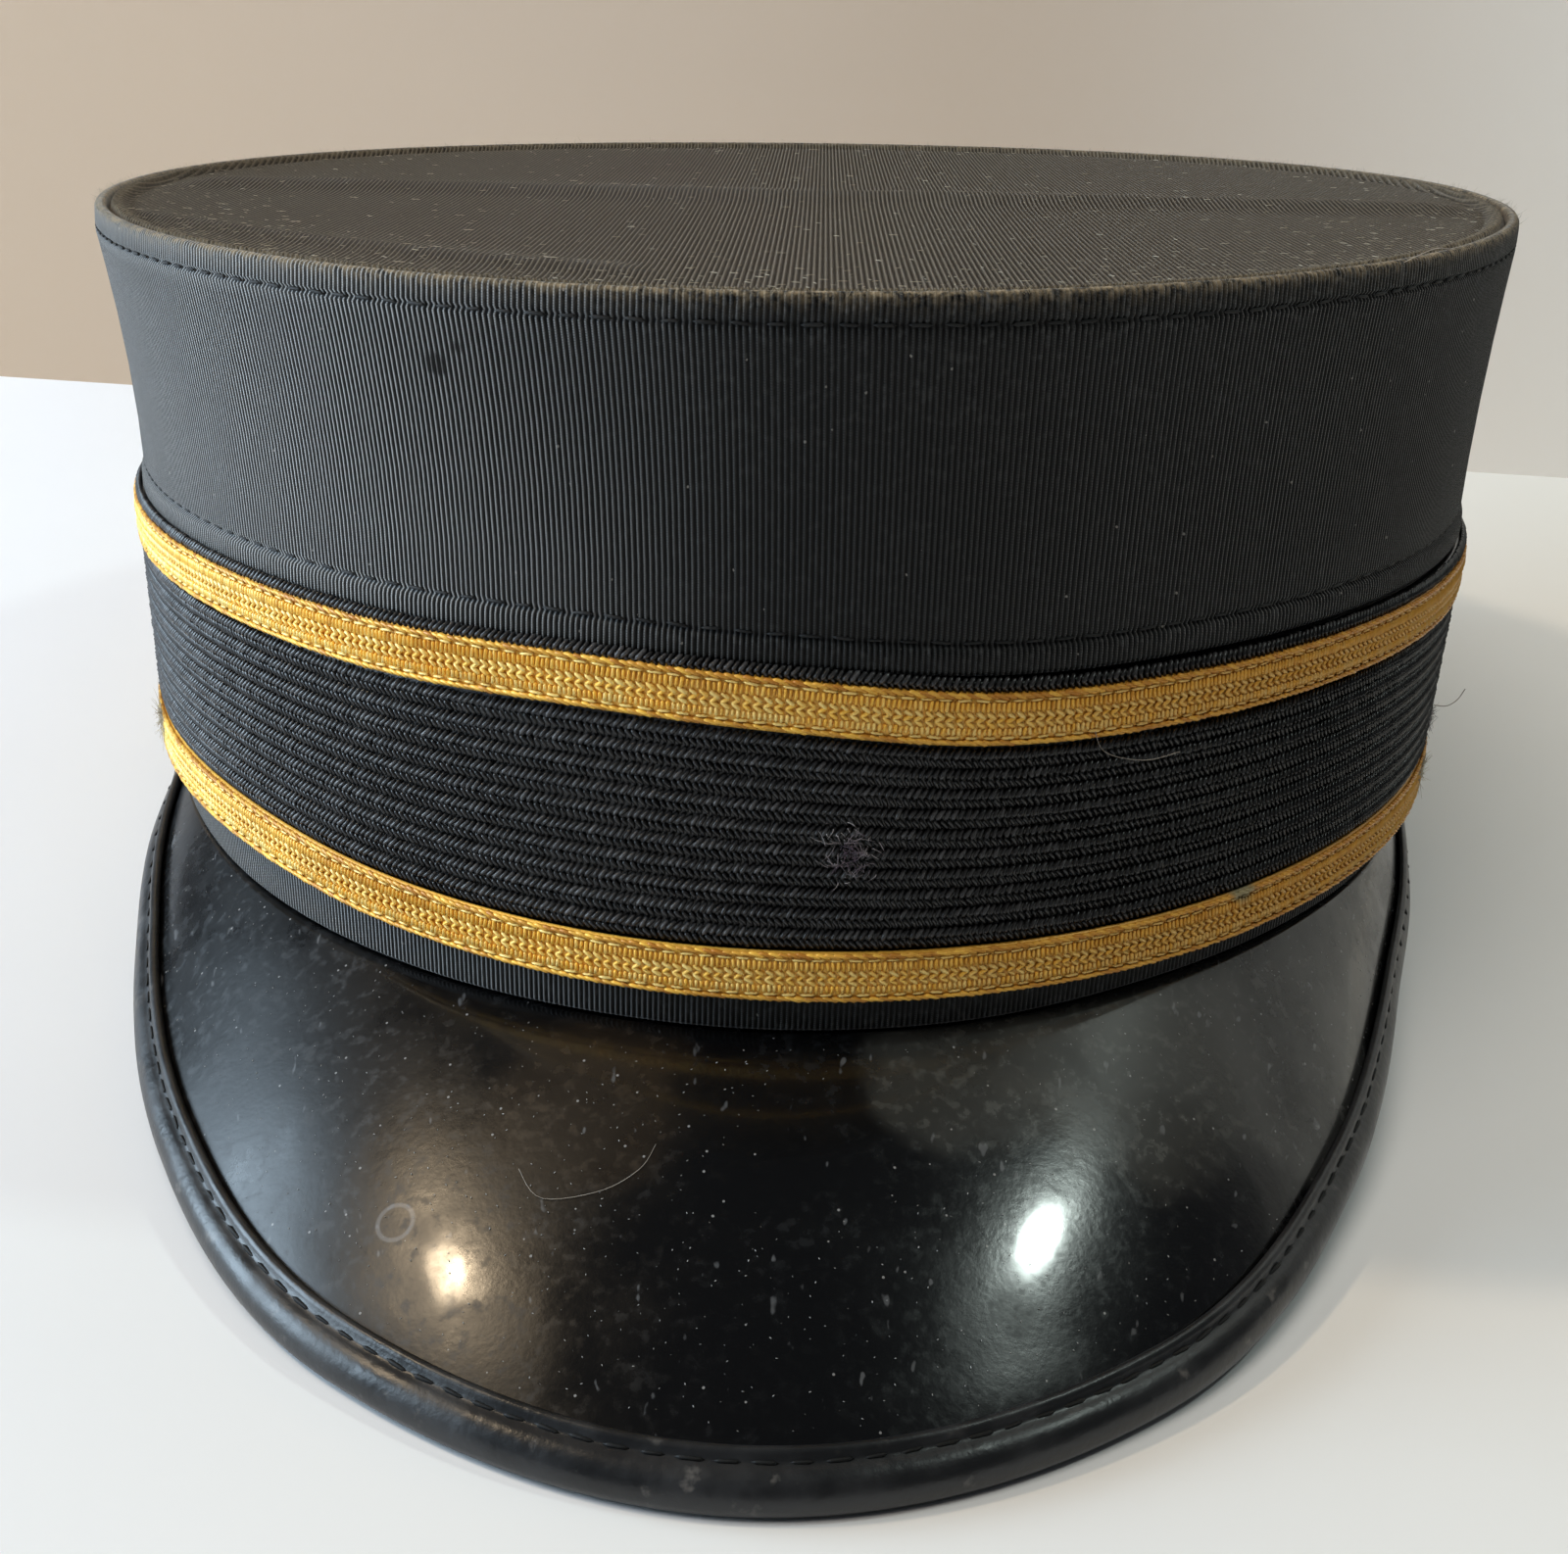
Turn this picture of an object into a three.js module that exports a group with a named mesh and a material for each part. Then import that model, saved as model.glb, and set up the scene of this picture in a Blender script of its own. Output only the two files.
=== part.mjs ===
// A conductor's cap: a round flat-topped crown of ribbed cloth that flares towards its top, a ribbed
// mohair band between two gold braids, and a bowed patent leather peak with a bound edge.
// Millimetres, +Z up. The wearer looks along -Y. The cap stands as it would on a table, on the back of
// its rim and the front of its peak, so the cap's own frame is tipped up at the front inside the group.
import * as THREE from "three";

// ---------------------------------------------------------------- driving dimensions

const COLUMNS = 64; // columns round each ring
const PEAK_COLUMNS = 36; // columns from one tip of the peak to the other
const REST_TILT = 7; // degrees that the peak lifts the front of the rim
const GAP = 0.3; // clearance between neighbouring pieces
const PEAK_GAP = 0.5; // clearance between the base wall and the peak's root under it

// Ovals are half width and half length. The trim oval is the outer face of the gold braids.
const RIM_OVAL = { width: 85.9, length: 103.6 };
const TRIM_FLARE = { width: 0.071, length: 0.074 }; // growth of each half axis per millimetre of height
const HEM_OVAL = { width: 86.9, length: 104.9 }; // crown wall at its folded hem
const TOP_OVAL = { width: 89.8, length: 112.1 }; // crown wall at its top edge
const BROW_TAPER = 0.02; // share by which the oval is narrower towards the brow

const CROWN_TOP = { height: 78.6, shiftX: -0.9, shiftY: -1.3, noseDown: 0.75, lean: 1.43, saddle: 0.9 };
const FLARE_POWER = 1.6; // how late the crown wall flares: 1 is a straight cone
const TOP_LIP = 3; // height of the stiff, upright edge above the flare
const LIP = { width: 1.3, round: 0.5 }; // its thickness and its rounding
const HEM = { share: 0.07, proud: 0.3 }; // the folded hem: share of the wall, and how far it is proud

const CLOTH = 2; // crown and base wall
const BRAID = { width: 5.6, thickness: 1.2, ridge: 0.35 };
const BAND = { ribs: 10, crest: 0.8, valley: 1.4, back: 2.3 }; // depths inside the trim oval
const TOP_RIB = 1; // the band's last rib shows this far above the upper braid
const BASE_INSET = BAND.back + GAP; // base wall's outer face inside the trim oval
const TIP_INSET = 1.6; // edge of the top panel inside the crown wall's top edge

// Heights above the rim plane from the cap's left side (-1) over the middle (0) to its right side (1):
// the rim's lower edge, the middle of each gold braid, and the hem of the crown wall.
const SIDES = [
  { side: -1.0, rim: 3.0, lowerBraid: 11.6, upperBraid: 38.2, hem: 41.6 },
  { side: -0.75, rim: 1.0, lowerBraid: 10.9, upperBraid: 38.0, hem: 41.4 },
  { side: -0.5, rim: 0.2, lowerBraid: 8.8, upperBraid: 37.4, hem: 41.0 },
  { side: -0.25, rim: 0.0, lowerBraid: 7.7, upperBraid: 37.5, hem: 41.0 },
  { side: 0.0, rim: 0.0, lowerBraid: 7.5, upperBraid: 36.5, hem: 40.3 },
  { side: 0.25, rim: 0.7, lowerBraid: 7.8, upperBraid: 35.1, hem: 39.5 },
  { side: 0.5, rim: 2.4, lowerBraid: 8.7, upperBraid: 35.8, hem: 40.4 },
  { side: 0.75, rim: 3.6, lowerBraid: 10.2, upperBraid: 36.9, hem: 41.4 },
  { side: 1.0, rim: 4.0, lowerBraid: 11.2, upperBraid: 37.4, hem: 41.9 },
];

// The top panel's two folds, each a low ridge along a line from one x to another: y = y0 + slope x + bow x x.
const FOLDS = [
  { name: "middle", fromX: -86, toX: 86, y0: 5, slope: -0.11, bow: -0.0022, height: 1.0, width: 7 },
  { name: "front left", fromX: -82, toX: -12, y0: -97, slope: -0.35, bow: 0.0042, height: 0.6, width: 4 },
];
const TIP_DISH = 0.8; // how far the panel's middle lies below its edge
const TIP_ROLL = { width: 1.6, height: 0.7 }; // the turned edge round the panel

// The peak's outer edge, seen from above: its distance from a point behind the brow at even bearings,
// from the cap's left tip over the front to its right tip.
const REACH = [82.1, 78.3, 82.7, 93.1, 99.7, 92.4, 80.8, 76.6, 83.0];
const PEAK = {
  centreX: -1.2,
  centreY: -45,
  span: 100, // reach of a full, wide peak, against which the bulge of the narrow sides is scaled
  tip: 104, // bearing of each tip, in degrees
  frontHeight: 1.93, // of the sheet's edge above the table, straight ahead
  tipHeight: 15,
  lift: 2, // power of the edge's rise from the front to the tips
  sheet: 1.4,
  root: 1.6, // how far the sheet reaches in under the base wall
  bow: 1.6, // bulge of the sheet between root and edge
};
const BINDING = { width: 5.3, lip: 0.9, nose: 0.75, slack: 0.4, tipMargin: 0.6, underMargin: 2.2 };

// ---------------------------------------------------------------- the cap's surfaces

const radians = THREE.MathUtils.degToRad;
const smooth = THREE.MathUtils.smoothstep;
const lerp = THREE.MathUtils.lerp;

/** A smooth curve through evenly spaced values, from side -1 to 1. */
function sideValue(values, side) {
  const last = values.length - 1;
  const place = THREE.MathUtils.clamp(((side + 1) / 2) * last, 0, last - 0.0001);
  const i = Math.floor(place);
  const t = place - i;
  const at = (k) => values[THREE.MathUtils.clamp(k, 0, last)];
  const slopeA = (at(i + 1) - at(i - 1)) / 2;
  const slopeB = (at(i + 2) - at(i)) / 2;
  const rise = at(i + 1) - at(i);
  return at(i) + t * (slopeA + t * (3 * rise - 2 * slopeA - slopeB + t * (slopeA + slopeB - 2 * rise)));
}

/** A column of SIDES round the whole cap: the back takes the mean of left and right. */
function ringHeight(column, angle) {
  const heights = SIDES.map((row) => row[column]);
  const side = Math.cos(angle);
  const here = sideValue(heights, side);
  const even = (here + sideValue(heights, -side)) / 2;
  return lerp(here, even, smooth(Math.sin(angle), -0.3, 0.4));
}

/** The rim's lower edge: as on the sides, and quite flat across the back, where the cap rests. */
function rimHeight(angle) {
  return ringHeight("rim", angle) * (1 - smooth(Math.sin(angle), 0.5, 0.8));
}

/** A point on an oval, moved in from it by inset. */
function ovalPoint(oval, inset, angle, height) {
  const across = (oval.width - inset) * (1 + BROW_TAPER * Math.sin(angle));
  return new THREE.Vector3(across * Math.cos(angle), (oval.length - inset) * Math.sin(angle), height);
}

/** A point on the trim oval's flaring face, or inside it by inset. */
function trimPoint(inset, angle, height) {
  const oval = {
    width: RIM_OVAL.width + TRIM_FLARE.width * height,
    length: RIM_OVAL.length + TRIM_FLARE.length * height,
  };
  return ovalPoint(oval, inset, angle, height);
}

const topFrame = new THREE.Matrix4()
  .makeTranslation(CROWN_TOP.shiftX, CROWN_TOP.shiftY, CROWN_TOP.height)
  .multiply(new THREE.Matrix4().makeRotationX(radians(CROWN_TOP.noseDown)))
  .multiply(new THREE.Matrix4().makeRotationY(radians(-CROWN_TOP.lean)));

/** A point near the crown's top plane: inset from its edge, and rise above its plane. */
function topPoint(inset, angle, rise) {
  const bend = CROWN_TOP.saddle * (Math.cos(angle) ** 2 - 0.5);
  return ovalPoint(TOP_OVAL, inset, angle, bend + rise).applyMatrix4(topFrame);
}

/** A point on the crown wall, share of the way up from its hem, inset from its outer face. */
function crownPoint(share, inset, angle) {
  const lower = ovalPoint(HEM_OVAL, inset, angle, ringHeight("hem", angle));
  const upper = topPoint(inset, angle, 0);
  const flareEnd = 1 - TOP_LIP / (upper.z - lower.z);
  const out = Math.min(1, share / flareEnd) ** FLARE_POWER;
  const point = lower.clone().lerp(upper, out);
  point.z = lerp(lower.z, upper.z, share);
  return point;
}

// ---------------------------------------------------------------- solids from sections

/** A geometry from its points and its triangles' corners. */
function solid(points, corners) {
  const geometry = new THREE.BufferGeometry().setFromPoints(points);
  geometry.setIndex(corners);
  geometry.computeVertexNormals();
  return geometry;
}

/** Joins two rows of points, each closed on itself, with two triangles a side, split one way or the other. */
function joinLoops(corners, first, second, count, otherWay = false) {
  for (let i = 0; i < count; i++) {
    const next = (i + 1) % count;
    if (otherWay) corners.push(first + i, second + i, first + next, first + next, second + i, second + next);
    else corners.push(first + i, second + i, second + next, first + i, second + next, first + next);
  }
}

/** A closed ring: the section at each angle runs down the inside, outwards, and up the outside. */
function ringSolid(sectionAt) {
  const points = [];
  const corners = [];
  const sections = Array.from({ length: COLUMNS }, (_, i) => sectionAt((2 * Math.PI * i) / COLUMNS));
  const size = sections[0].length;
  sections.forEach((section) => points.push(...section));
  sections.forEach((_, i) => joinLoops(corners, i * size, ((i + 1) % COLUMNS) * size, size));
  return solid(points, corners);
}

/** A strip from one end to the other, whose sections are closed loops capped by the given triangles. */
function stripSolid(sections, capTriangles, otherWay = false) {
  const points = sections.flat();
  const size = sections[0].length;
  const corners = [];
  for (let i = 0; i + 1 < sections.length; i++) joinLoops(corners, i * size, (i + 1) * size, size, otherWay);
  const last = (sections.length - 1) * size;
  for (const [a, b, c] of capTriangles) corners.push(a, b, c, last + c, last + b, last + a);
  return solid(points, corners);
}

/** Cap triangles for a flat section of two equal rows, the lower one running back under the upper. */
function ribbonCap(rowLength) {
  const triangles = [];
  for (let i = 0; i + 1 < rowLength; i++) {
    const under = 2 * rowLength - 1 - i;
    triangles.push([i, i + 1, under], [i + 1, under - 1, under]);
  }
  return triangles;
}

function piece(name, geometry, colour, roughness, metalness = 0) {
  const material = new THREE.MeshStandardMaterial({ color: colour, roughness, metalness });
  const mesh = new THREE.Mesh(geometry, material);
  mesh.name = name;
  return mesh;
}

// ---------------------------------------------------------------- crown

/** The crown wall, from its folded hem to the upright lip that the top panel sits in. */
function crownWall() {
  const rows = [0.25, 0.42, 0.58, 0.72, 0.84, 0.92];
  return ringSolid((angle) => {
    const shoulder = -CLOTH - GAP;
    return [
      topPoint(LIP.width, angle, -LIP.round),
      topPoint(LIP.width, angle, shoulder),
      topPoint(CLOTH, angle, shoulder),
      ...[0.84, 0.58, 0.3].map((share) => crownPoint(share, CLOTH, angle)),
      crownPoint(0, CLOTH, angle),
      crownPoint(0, -HEM.proud, angle),
      crownPoint(HEM.share, -HEM.proud, angle),
      crownPoint(HEM.share + 0.01, 0, angle),
      ...rows.map((share) => crownPoint(share, 0, angle)),
      topPoint(0, angle, -LIP.round),
      topPoint(LIP.width / 2, angle, 0),
    ];
  });
}

/** How far the top panel stands above its plane at a place on it. */
function panelRise(x, y, share) {
  let rise = -TIP_ROLL.height - TIP_DISH * (1 - share * share);
  for (const fold of FOLDS) {
    const away = (y - (fold.y0 + fold.slope * x + fold.bow * x * x)) / fold.width;
    const fade = smooth(x, fold.fromX, fold.fromX + 8) * (1 - smooth(x, fold.toX - 8, fold.toX));
    rise += fold.height * fade * Math.exp(-away * away);
  }
  return rise;
}

/** The oval top panel: a thin dished sheet with its folds, inside a turned edge. */
function crownTip() {
  const shares = [0.955, 0.88, 0.75, 0.58, 0.38, 0.18]; // rings of the sheet, from its edge inwards
  const angles = Array.from({ length: COLUMNS }, (_, i) => (2 * Math.PI * i) / COLUMNS);
  const sheetPoint = (share, angle, depth) => {
    const flat = ovalPoint(TOP_OVAL, 0, angle, 0).multiplyScalar(share);
    const bend = CROWN_TOP.saddle * (Math.cos(angle) ** 2 - 0.5) * share;
    flat.z = panelRise(flat.x, flat.y, share) + bend - depth;
    return flat.applyMatrix4(topFrame);
  };
  const rings = [
    ...[0.3, 0.6, 0.85].map((share) => angles.map((a) => sheetPoint(share, a, CLOTH - TIP_ROLL.height))),
    angles.map((a) => topPoint(TIP_INSET, a, -CLOTH)),
    angles.map((a) => topPoint(TIP_INSET, a, -TIP_ROLL.height)),
    angles.map((a) => topPoint(TIP_INSET + 0.4, a, 0)),
    angles.map((a) => topPoint(TIP_INSET + TIP_ROLL.width, a, 0)),
    ...shares.map((share) => angles.map((a) => sheetPoint(share, a, 0))),
  ];
  const points = rings.flat();
  const corners = [];
  for (let r = 0; r + 1 < rings.length; r++) {
    for (let i = 0; i < COLUMNS; i++) {
      const next = (i + 1) % COLUMNS;
      const [a, b] = [r * COLUMNS, (r + 1) * COLUMNS];
      corners.push(a + i, a + next, b + next, a + i, b + next, b + i);
    }
  }
  const under = points.push(sheetPoint(0, 0, CLOTH - TIP_ROLL.height)) - 1;
  const over = points.push(sheetPoint(0, 0, 0)) - 1;
  const last = (rings.length - 1) * COLUMNS;
  for (let i = 0; i < COLUMNS; i++) {
    const next = (i + 1) % COLUMNS;
    corners.push(under, next, i, over, last + i, last + next);
  }
  return solid(points, corners);
}

// ---------------------------------------------------------------- base wall, band and braids

/** The cloth wall under the trim, from the rim up to the crown wall's hem. */
function baseWall() {
  return ringSolid((angle) => {
    const bottom = rimHeight(angle) + PEAK_GAP * (1 - smooth(Math.sin(angle), -0.15, 0));
    const top = ringHeight("hem", angle) - GAP;
    const waist = (bottom + top) / 2;
    const inner = BASE_INSET + CLOTH;
    return [
      ...[top, waist, bottom].map((height) => trimPoint(inner, angle, height)),
      ...[bottom, waist, top].map((height) => trimPoint(BASE_INSET, angle, height)),
    ];
  });
}

/** The mohair band: flat behind each braid, ribbed between them, with one rib above the upper braid. */
function mohairBand() {
  const behind = BRAID.thickness + GAP;
  const half = BRAID.width / 2;
  return ringSolid((angle) => {
    const low = ringHeight("lowerBraid", angle);
    const high = ringHeight("upperBraid", angle);
    const from = low + half + GAP;
    const to = high - half - GAP;
    const rib = (to - from) / BAND.ribs;
    const section = [trimPoint(behind, angle, low - half + 1)];
    for (let i = 0; i < BAND.ribs; i++) {
      section.push(trimPoint(BAND.valley, angle, from + i * rib));
      section.push(trimPoint(BAND.crest, angle, from + (i + 0.5) * rib));
    }
    const ribTop = Math.min(high + half + TOP_RIB, ringHeight("hem", angle) - GAP);
    section.push(
      trimPoint(BAND.valley, angle, to),
      trimPoint(behind, angle, high + half),
      trimPoint(BAND.crest, angle, (high + half + GAP + ribTop) / 2),
      trimPoint(behind, angle, ribTop),
      trimPoint(BAND.back, angle, ribTop),
      trimPoint(BAND.back, angle, low - half + 1),
    );
    return section;
  });
}

/** A flat gold braid with a raised ladder rib along each side of its middle. */
function goldBraid(column) {
  // Place across the braid, from its lower edge (-1) to its upper (1), and depth below its ribs.
  const relief = [
    { across: -1, depth: 0.6 },
    { across: -0.6, depth: 0 },
    { across: 0, depth: BRAID.ridge },
    { across: 0.6, depth: 0 },
    { across: 1, depth: 0.6 },
  ];
  return ringSolid((angle) => {
    const middle = ringHeight(column, angle);
    const half = BRAID.width / 2;
    return [
      trimPoint(BRAID.thickness, angle, middle + half),
      trimPoint(BRAID.thickness, angle, middle - half),
      ...relief.map((row) => trimPoint(row.depth * BRAID.thickness, angle, middle + row.across * half)),
    ];
  });
}

// ---------------------------------------------------------------- peak

/** The cap's own frame as it stands: tipped up at the front, with the back of the rim on the table. */
const standing = new THREE.Matrix4().makeRotationX(-radians(REST_TILT));
const rimBack = trimPoint(BASE_INSET, Math.PI / 2, 0).applyMatrix4(standing);
standing.setPosition(0, 0, -rimBack.z);

/** The angle round the cap at which a ray from the peak's centre meets the base wall's face. */
function rootAngle(bearing) {
  const dx = Math.sin(bearing) / (RIM_OVAL.width - BASE_INSET);
  const dy = -Math.cos(bearing) / (RIM_OVAL.length - BASE_INSET);
  const x = PEAK.centreX / (RIM_OVAL.width - BASE_INSET);
  const y = PEAK.centreY / (RIM_OVAL.length - BASE_INSET);
  const [a, b, c] = [dx * dx + dy * dy, x * dx + y * dy, x * x + y * y - 1];
  const distance = (-b + Math.sqrt(b * b - a * c)) / a;
  return Math.atan2(y + distance * dy, x + distance * dx);
}

/** The line of the peak at a bearing, as it stands: its root and flange, and the way it runs out. */
function peakLine(bearing) {
  const angle = rootAngle(bearing);
  const rim = rimHeight(angle);
  const root = trimPoint(BASE_INSET, angle, rim).applyMatrix4(standing);
  const flange = (height) => trimPoint(BASE_INSET + PEAK.root, angle, rim + height).applyMatrix4(standing);
  const reach = sideValue(REACH, bearing / radians(PEAK.tip));
  const x = PEAK.centreX + reach * Math.sin(bearing);
  const y = PEAK.centreY - reach * Math.cos(bearing);
  const front = PEAK.centreY - sideValue(REACH, 0);
  const back = PEAK.centreY - Math.cos(radians(PEAK.tip)) * PEAK.span;
  const rise = THREE.MathUtils.clamp((y - front) / (back - front), 0, 1) ** PEAK.lift;
  const edge = new THREE.Vector3(x, y, lerp(PEAK.frontHeight, PEAK.tipHeight, rise));
  const along = new THREE.Vector3(Math.cos(bearing), Math.sin(bearing), 0);
  const out = edge.clone().sub(root);
  const length = out.length();
  out.normalize();
  const up = new THREE.Vector3().crossVectors(out, along).normalize();
  return { root, flange, out, up, length };
}

const peakBearings = Array.from({ length: PEAK_COLUMNS + 1 }, (_, i) =>
  radians(lerp(PEAK.tip, -PEAK.tip, i / PEAK_COLUMNS)),
);

/** A point on a line of the peak: distance out from the root, and height above the sheet's upper face. */
function peakPoint(line, distance, height) {
  const share = THREE.MathUtils.clamp(distance / line.length, 0, 1);
  const bulge = PEAK.bow * 4 * share * (1 - share) * Math.min(1, line.length / PEAK.span / 0.4);
  return line.root
    .clone()
    .addScaledVector(line.out, distance)
    .addScaledVector(line.up, height + bulge);
}

/** Where the binding's inner edge lies on a line of the peak: it narrows where the peak does. */
function bindingStart(line) {
  return Math.max(line.length - BINDING.width, BINDING.tipMargin);
}

/** The sheet's underside where it turns from the flange to the slope: the corner of its two faces. */
function foldUnder(line) {
  const down = line.flange(-PEAK.sheet).sub(line.flange(0));
  const inward = line.flange(0).sub(line.root).normalize();
  const bend = Math.acos(-line.up.dot(down) / down.length());
  return line.root.clone().add(down).addScaledVector(inward, PEAK.sheet * Math.tan(bend / 2));
}

/** The patent leather sheet, from under the base wall to inside the binding. */
function peakSheet() {
  const shares = [0, 0.25, 0.5, 0.75, 1];
  const sections = peakBearings.map((bearing) => {
    const line = peakLine(bearing);
    const stations = [...shares.map((share) => share * bindingStart(line)), line.length - BINDING.nose];
    const upper = [line.flange(0), ...stations.map((distance) => peakPoint(line, distance, 0))];
    const under = stations.slice(1).map((distance) => peakPoint(line, distance, -PEAK.sheet));
    return [...upper, ...under.toReversed(), foldUnder(line), line.flange(-PEAK.sheet)];
  });
  return stripSolid(sections, ribbonCap(shares.length + 2));
}

/** The leather binding folded round the sheet's edge: a channel with a rounded nose. */
function peakBinding() {
  const { lip, nose, slack } = BINDING;
  const sections = [];
  for (const bearing of peakBearings) {
    const line = peakLine(bearing);
    const inner = bindingStart(line);
    const innerUnder = Math.max(inner, BINDING.underMargin);
    const end = line.length;
    const slot = end - nose + slack;
    const top = slack + lip;
    const bottom = -PEAK.sheet - slack - lip;
    const middle = -PEAK.sheet / 2;
    const loop = [
      [inner, slack],
      [inner, top],
      [end - 1, top],
      [end + 0.3, top * 0.6],
      [end + nose * 0.6, middle],
      [end + 0.3, bottom * 0.75],
      [end - 1, bottom],
      [innerUnder, bottom],
      [innerUnder, -PEAK.sheet - slack],
      [slot, -PEAK.sheet - slack],
      [slot, slack],
    ];
    sections.push(loop.map(([distance, height]) => peakPoint(line, distance, height)));
  }
  const cap = [
    [0, 1, 2],
    [0, 2, 10],
    [10, 2, 3],
    [10, 3, 4],
    [10, 4, 9],
    [9, 4, 5],
    [9, 5, 6],
    [9, 6, 8],
    [8, 6, 7],
  ];
  return stripSolid(sections, cap, true); // so that its slot folds as the sheet in it does
}

// ---------------------------------------------------------------- assembly

const cap = new THREE.Group();
cap.add(
  piece("crown_wall", crownWall(), "#1d2022", 0.85),
  piece("crown_tip", crownTip(), "#2b2724", 0.9),
  piece("base_wall", baseWall(), "#1b1d1f", 0.85),
  piece("mohair_band", mohairBand(), "#0d0d0f", 0.75),
  piece("gold_braid_upper", goldBraid("upperBraid"), "#c08a35", 0.5, 0.2),
  piece("gold_braid_lower", goldBraid("lowerBraid"), "#b98230", 0.5, 0.2),
);
cap.applyMatrix4(standing);

const object = new THREE.Group();
object.add(cap);
object.add(
  piece("peak", peakSheet(), "#08090b", 0.12),
  piece("peak_binding", peakBinding(), "#101114", 0.45),
);

// The origin is the middle of the footprint's box, on the table.
const box = new THREE.Box3().setFromObject(object, true);
const middle = box.getCenter(new THREE.Vector3());
object.position.set(-middle.x, -middle.y, -box.min.z);

export default object;
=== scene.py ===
"""Dresses a conductor's cap: ribbed cloth crown, mohair band, gold braids and a patent leather peak.

Sizes are millimetres in the cap's own frame, whose plane z = 0 is the rim, until CapForm turns them
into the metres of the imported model's frame. The wearer looks along -Y. The cap rests on the back of
its rim and the front of its peak.
"""

import logging
import math
from dataclasses import dataclass
from enum import Enum
from functools import cached_property
from typing import Callable, NamedTuple, Sequence

import bpy
import numpy as np
from mathutils import Matrix, Vector


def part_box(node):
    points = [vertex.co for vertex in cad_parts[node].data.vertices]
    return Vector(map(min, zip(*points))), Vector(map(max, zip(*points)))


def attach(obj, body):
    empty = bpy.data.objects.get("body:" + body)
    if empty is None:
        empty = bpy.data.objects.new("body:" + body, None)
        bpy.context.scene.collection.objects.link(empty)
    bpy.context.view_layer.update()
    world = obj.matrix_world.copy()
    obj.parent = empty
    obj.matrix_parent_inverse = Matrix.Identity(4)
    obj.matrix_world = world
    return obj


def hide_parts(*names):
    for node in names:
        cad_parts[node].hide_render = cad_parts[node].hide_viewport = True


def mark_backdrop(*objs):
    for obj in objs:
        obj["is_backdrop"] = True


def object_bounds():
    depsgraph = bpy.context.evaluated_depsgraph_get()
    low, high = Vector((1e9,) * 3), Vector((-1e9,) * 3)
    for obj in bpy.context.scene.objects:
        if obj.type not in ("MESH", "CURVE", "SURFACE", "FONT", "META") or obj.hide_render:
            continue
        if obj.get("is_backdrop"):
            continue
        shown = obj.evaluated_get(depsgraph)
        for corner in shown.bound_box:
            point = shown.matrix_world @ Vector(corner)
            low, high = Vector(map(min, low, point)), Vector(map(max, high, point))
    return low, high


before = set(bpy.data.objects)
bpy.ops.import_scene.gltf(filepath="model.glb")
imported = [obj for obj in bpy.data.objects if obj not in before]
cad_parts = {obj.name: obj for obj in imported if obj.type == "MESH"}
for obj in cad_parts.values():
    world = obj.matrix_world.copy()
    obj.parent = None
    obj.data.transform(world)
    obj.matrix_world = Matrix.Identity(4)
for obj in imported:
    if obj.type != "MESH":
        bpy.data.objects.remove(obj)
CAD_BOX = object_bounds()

log = logging.getLogger("cap")
MM = 0.001
UV = "cloth"
Array = np.ndarray
Piece = bpy.types.Object
Socket = bpy.types.NodeSocket
Colour = tuple[float, float, float]
Point = tuple[float, float, float]


# ---------------------------------------------------------------- the cap's form


def smooth(value: Array, low: float, high: float) -> Array:
    """Rises from 0 to 1 between two values, level at both ends.

    Args:
        value: The numbers to ease.
        low: Where the rise starts.
        high: Where it ends.

    Returns:
        The eased numbers, from 0 to 1.
    """
    t = np.clip((value - low) / (high - low), 0.0, 1.0)
    return t * t * (3.0 - 2.0 * t)


def blend(first: Array, second: Array, share: Array) -> Array:
    """The value that lies a share of the way from the first to the second."""
    return first + (second - first) * share


def unit(vectors: Array) -> Array:
    """The vectors with length one."""
    return vectors / np.linalg.norm(vectors, axis=-1, keepdims=True)


def turn_x(degrees: float) -> Array:
    """The matrix of a turn about X."""
    return np.array(Matrix.Rotation(math.radians(degrees), 3, "X"))


def turn_y(degrees: float) -> Array:
    """The matrix of a turn about Y."""
    return np.array(Matrix.Rotation(math.radians(degrees), 3, "Y"))


def side_value(values: Sequence[float], side: Array) -> Array:
    """A smooth curve through evenly spaced values, from side -1 to 1.

    Args:
        values: The values at even steps.
        side: Where along them.

    Returns:
        The curve's values.
    """
    rows = np.array(values)
    place = np.clip((side + 1) / 2, 0, 0.99999) * (len(rows) - 1)
    i = np.floor(place).astype(int)
    t = place - i
    before, at, after, beyond = (rows[np.clip(i + k, 0, len(rows) - 1)] for k in (-1, 0, 1, 2))
    slope_a, slope_b, rise = (after - before) / 2, (beyond - at) / 2, after - at
    cubic = 3 * rise - 2 * slope_a - slope_b + t * (slope_a + slope_b - 2 * rise)
    return at + t * (slope_a + t * cubic)


class Level(Enum):
    """Heights above the rim's plane at even steps from the cap's left side over its front to its right."""

    RIM = (3.0, 1.0, 0.2, 0.0, 0.0, 0.7, 2.4, 3.6, 4.0)
    LOWER_BRAID = (11.6, 10.9, 8.8, 7.7, 7.5, 7.8, 8.7, 10.2, 11.2)
    UPPER_BRAID = (38.2, 38.0, 37.4, 37.5, 36.5, 35.1, 35.8, 36.9, 37.4)
    HEM = (41.6, 41.4, 41.0, 41.0, 40.3, 39.5, 40.4, 41.4, 41.9)


class Fold(NamedTuple):
    """A low ridge of the top panel along y = y0 + slope x + bow x x, between two places in x."""

    from_x: float
    to_x: float
    y0: float
    slope: float
    bow: float
    height: float
    width: float


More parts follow.
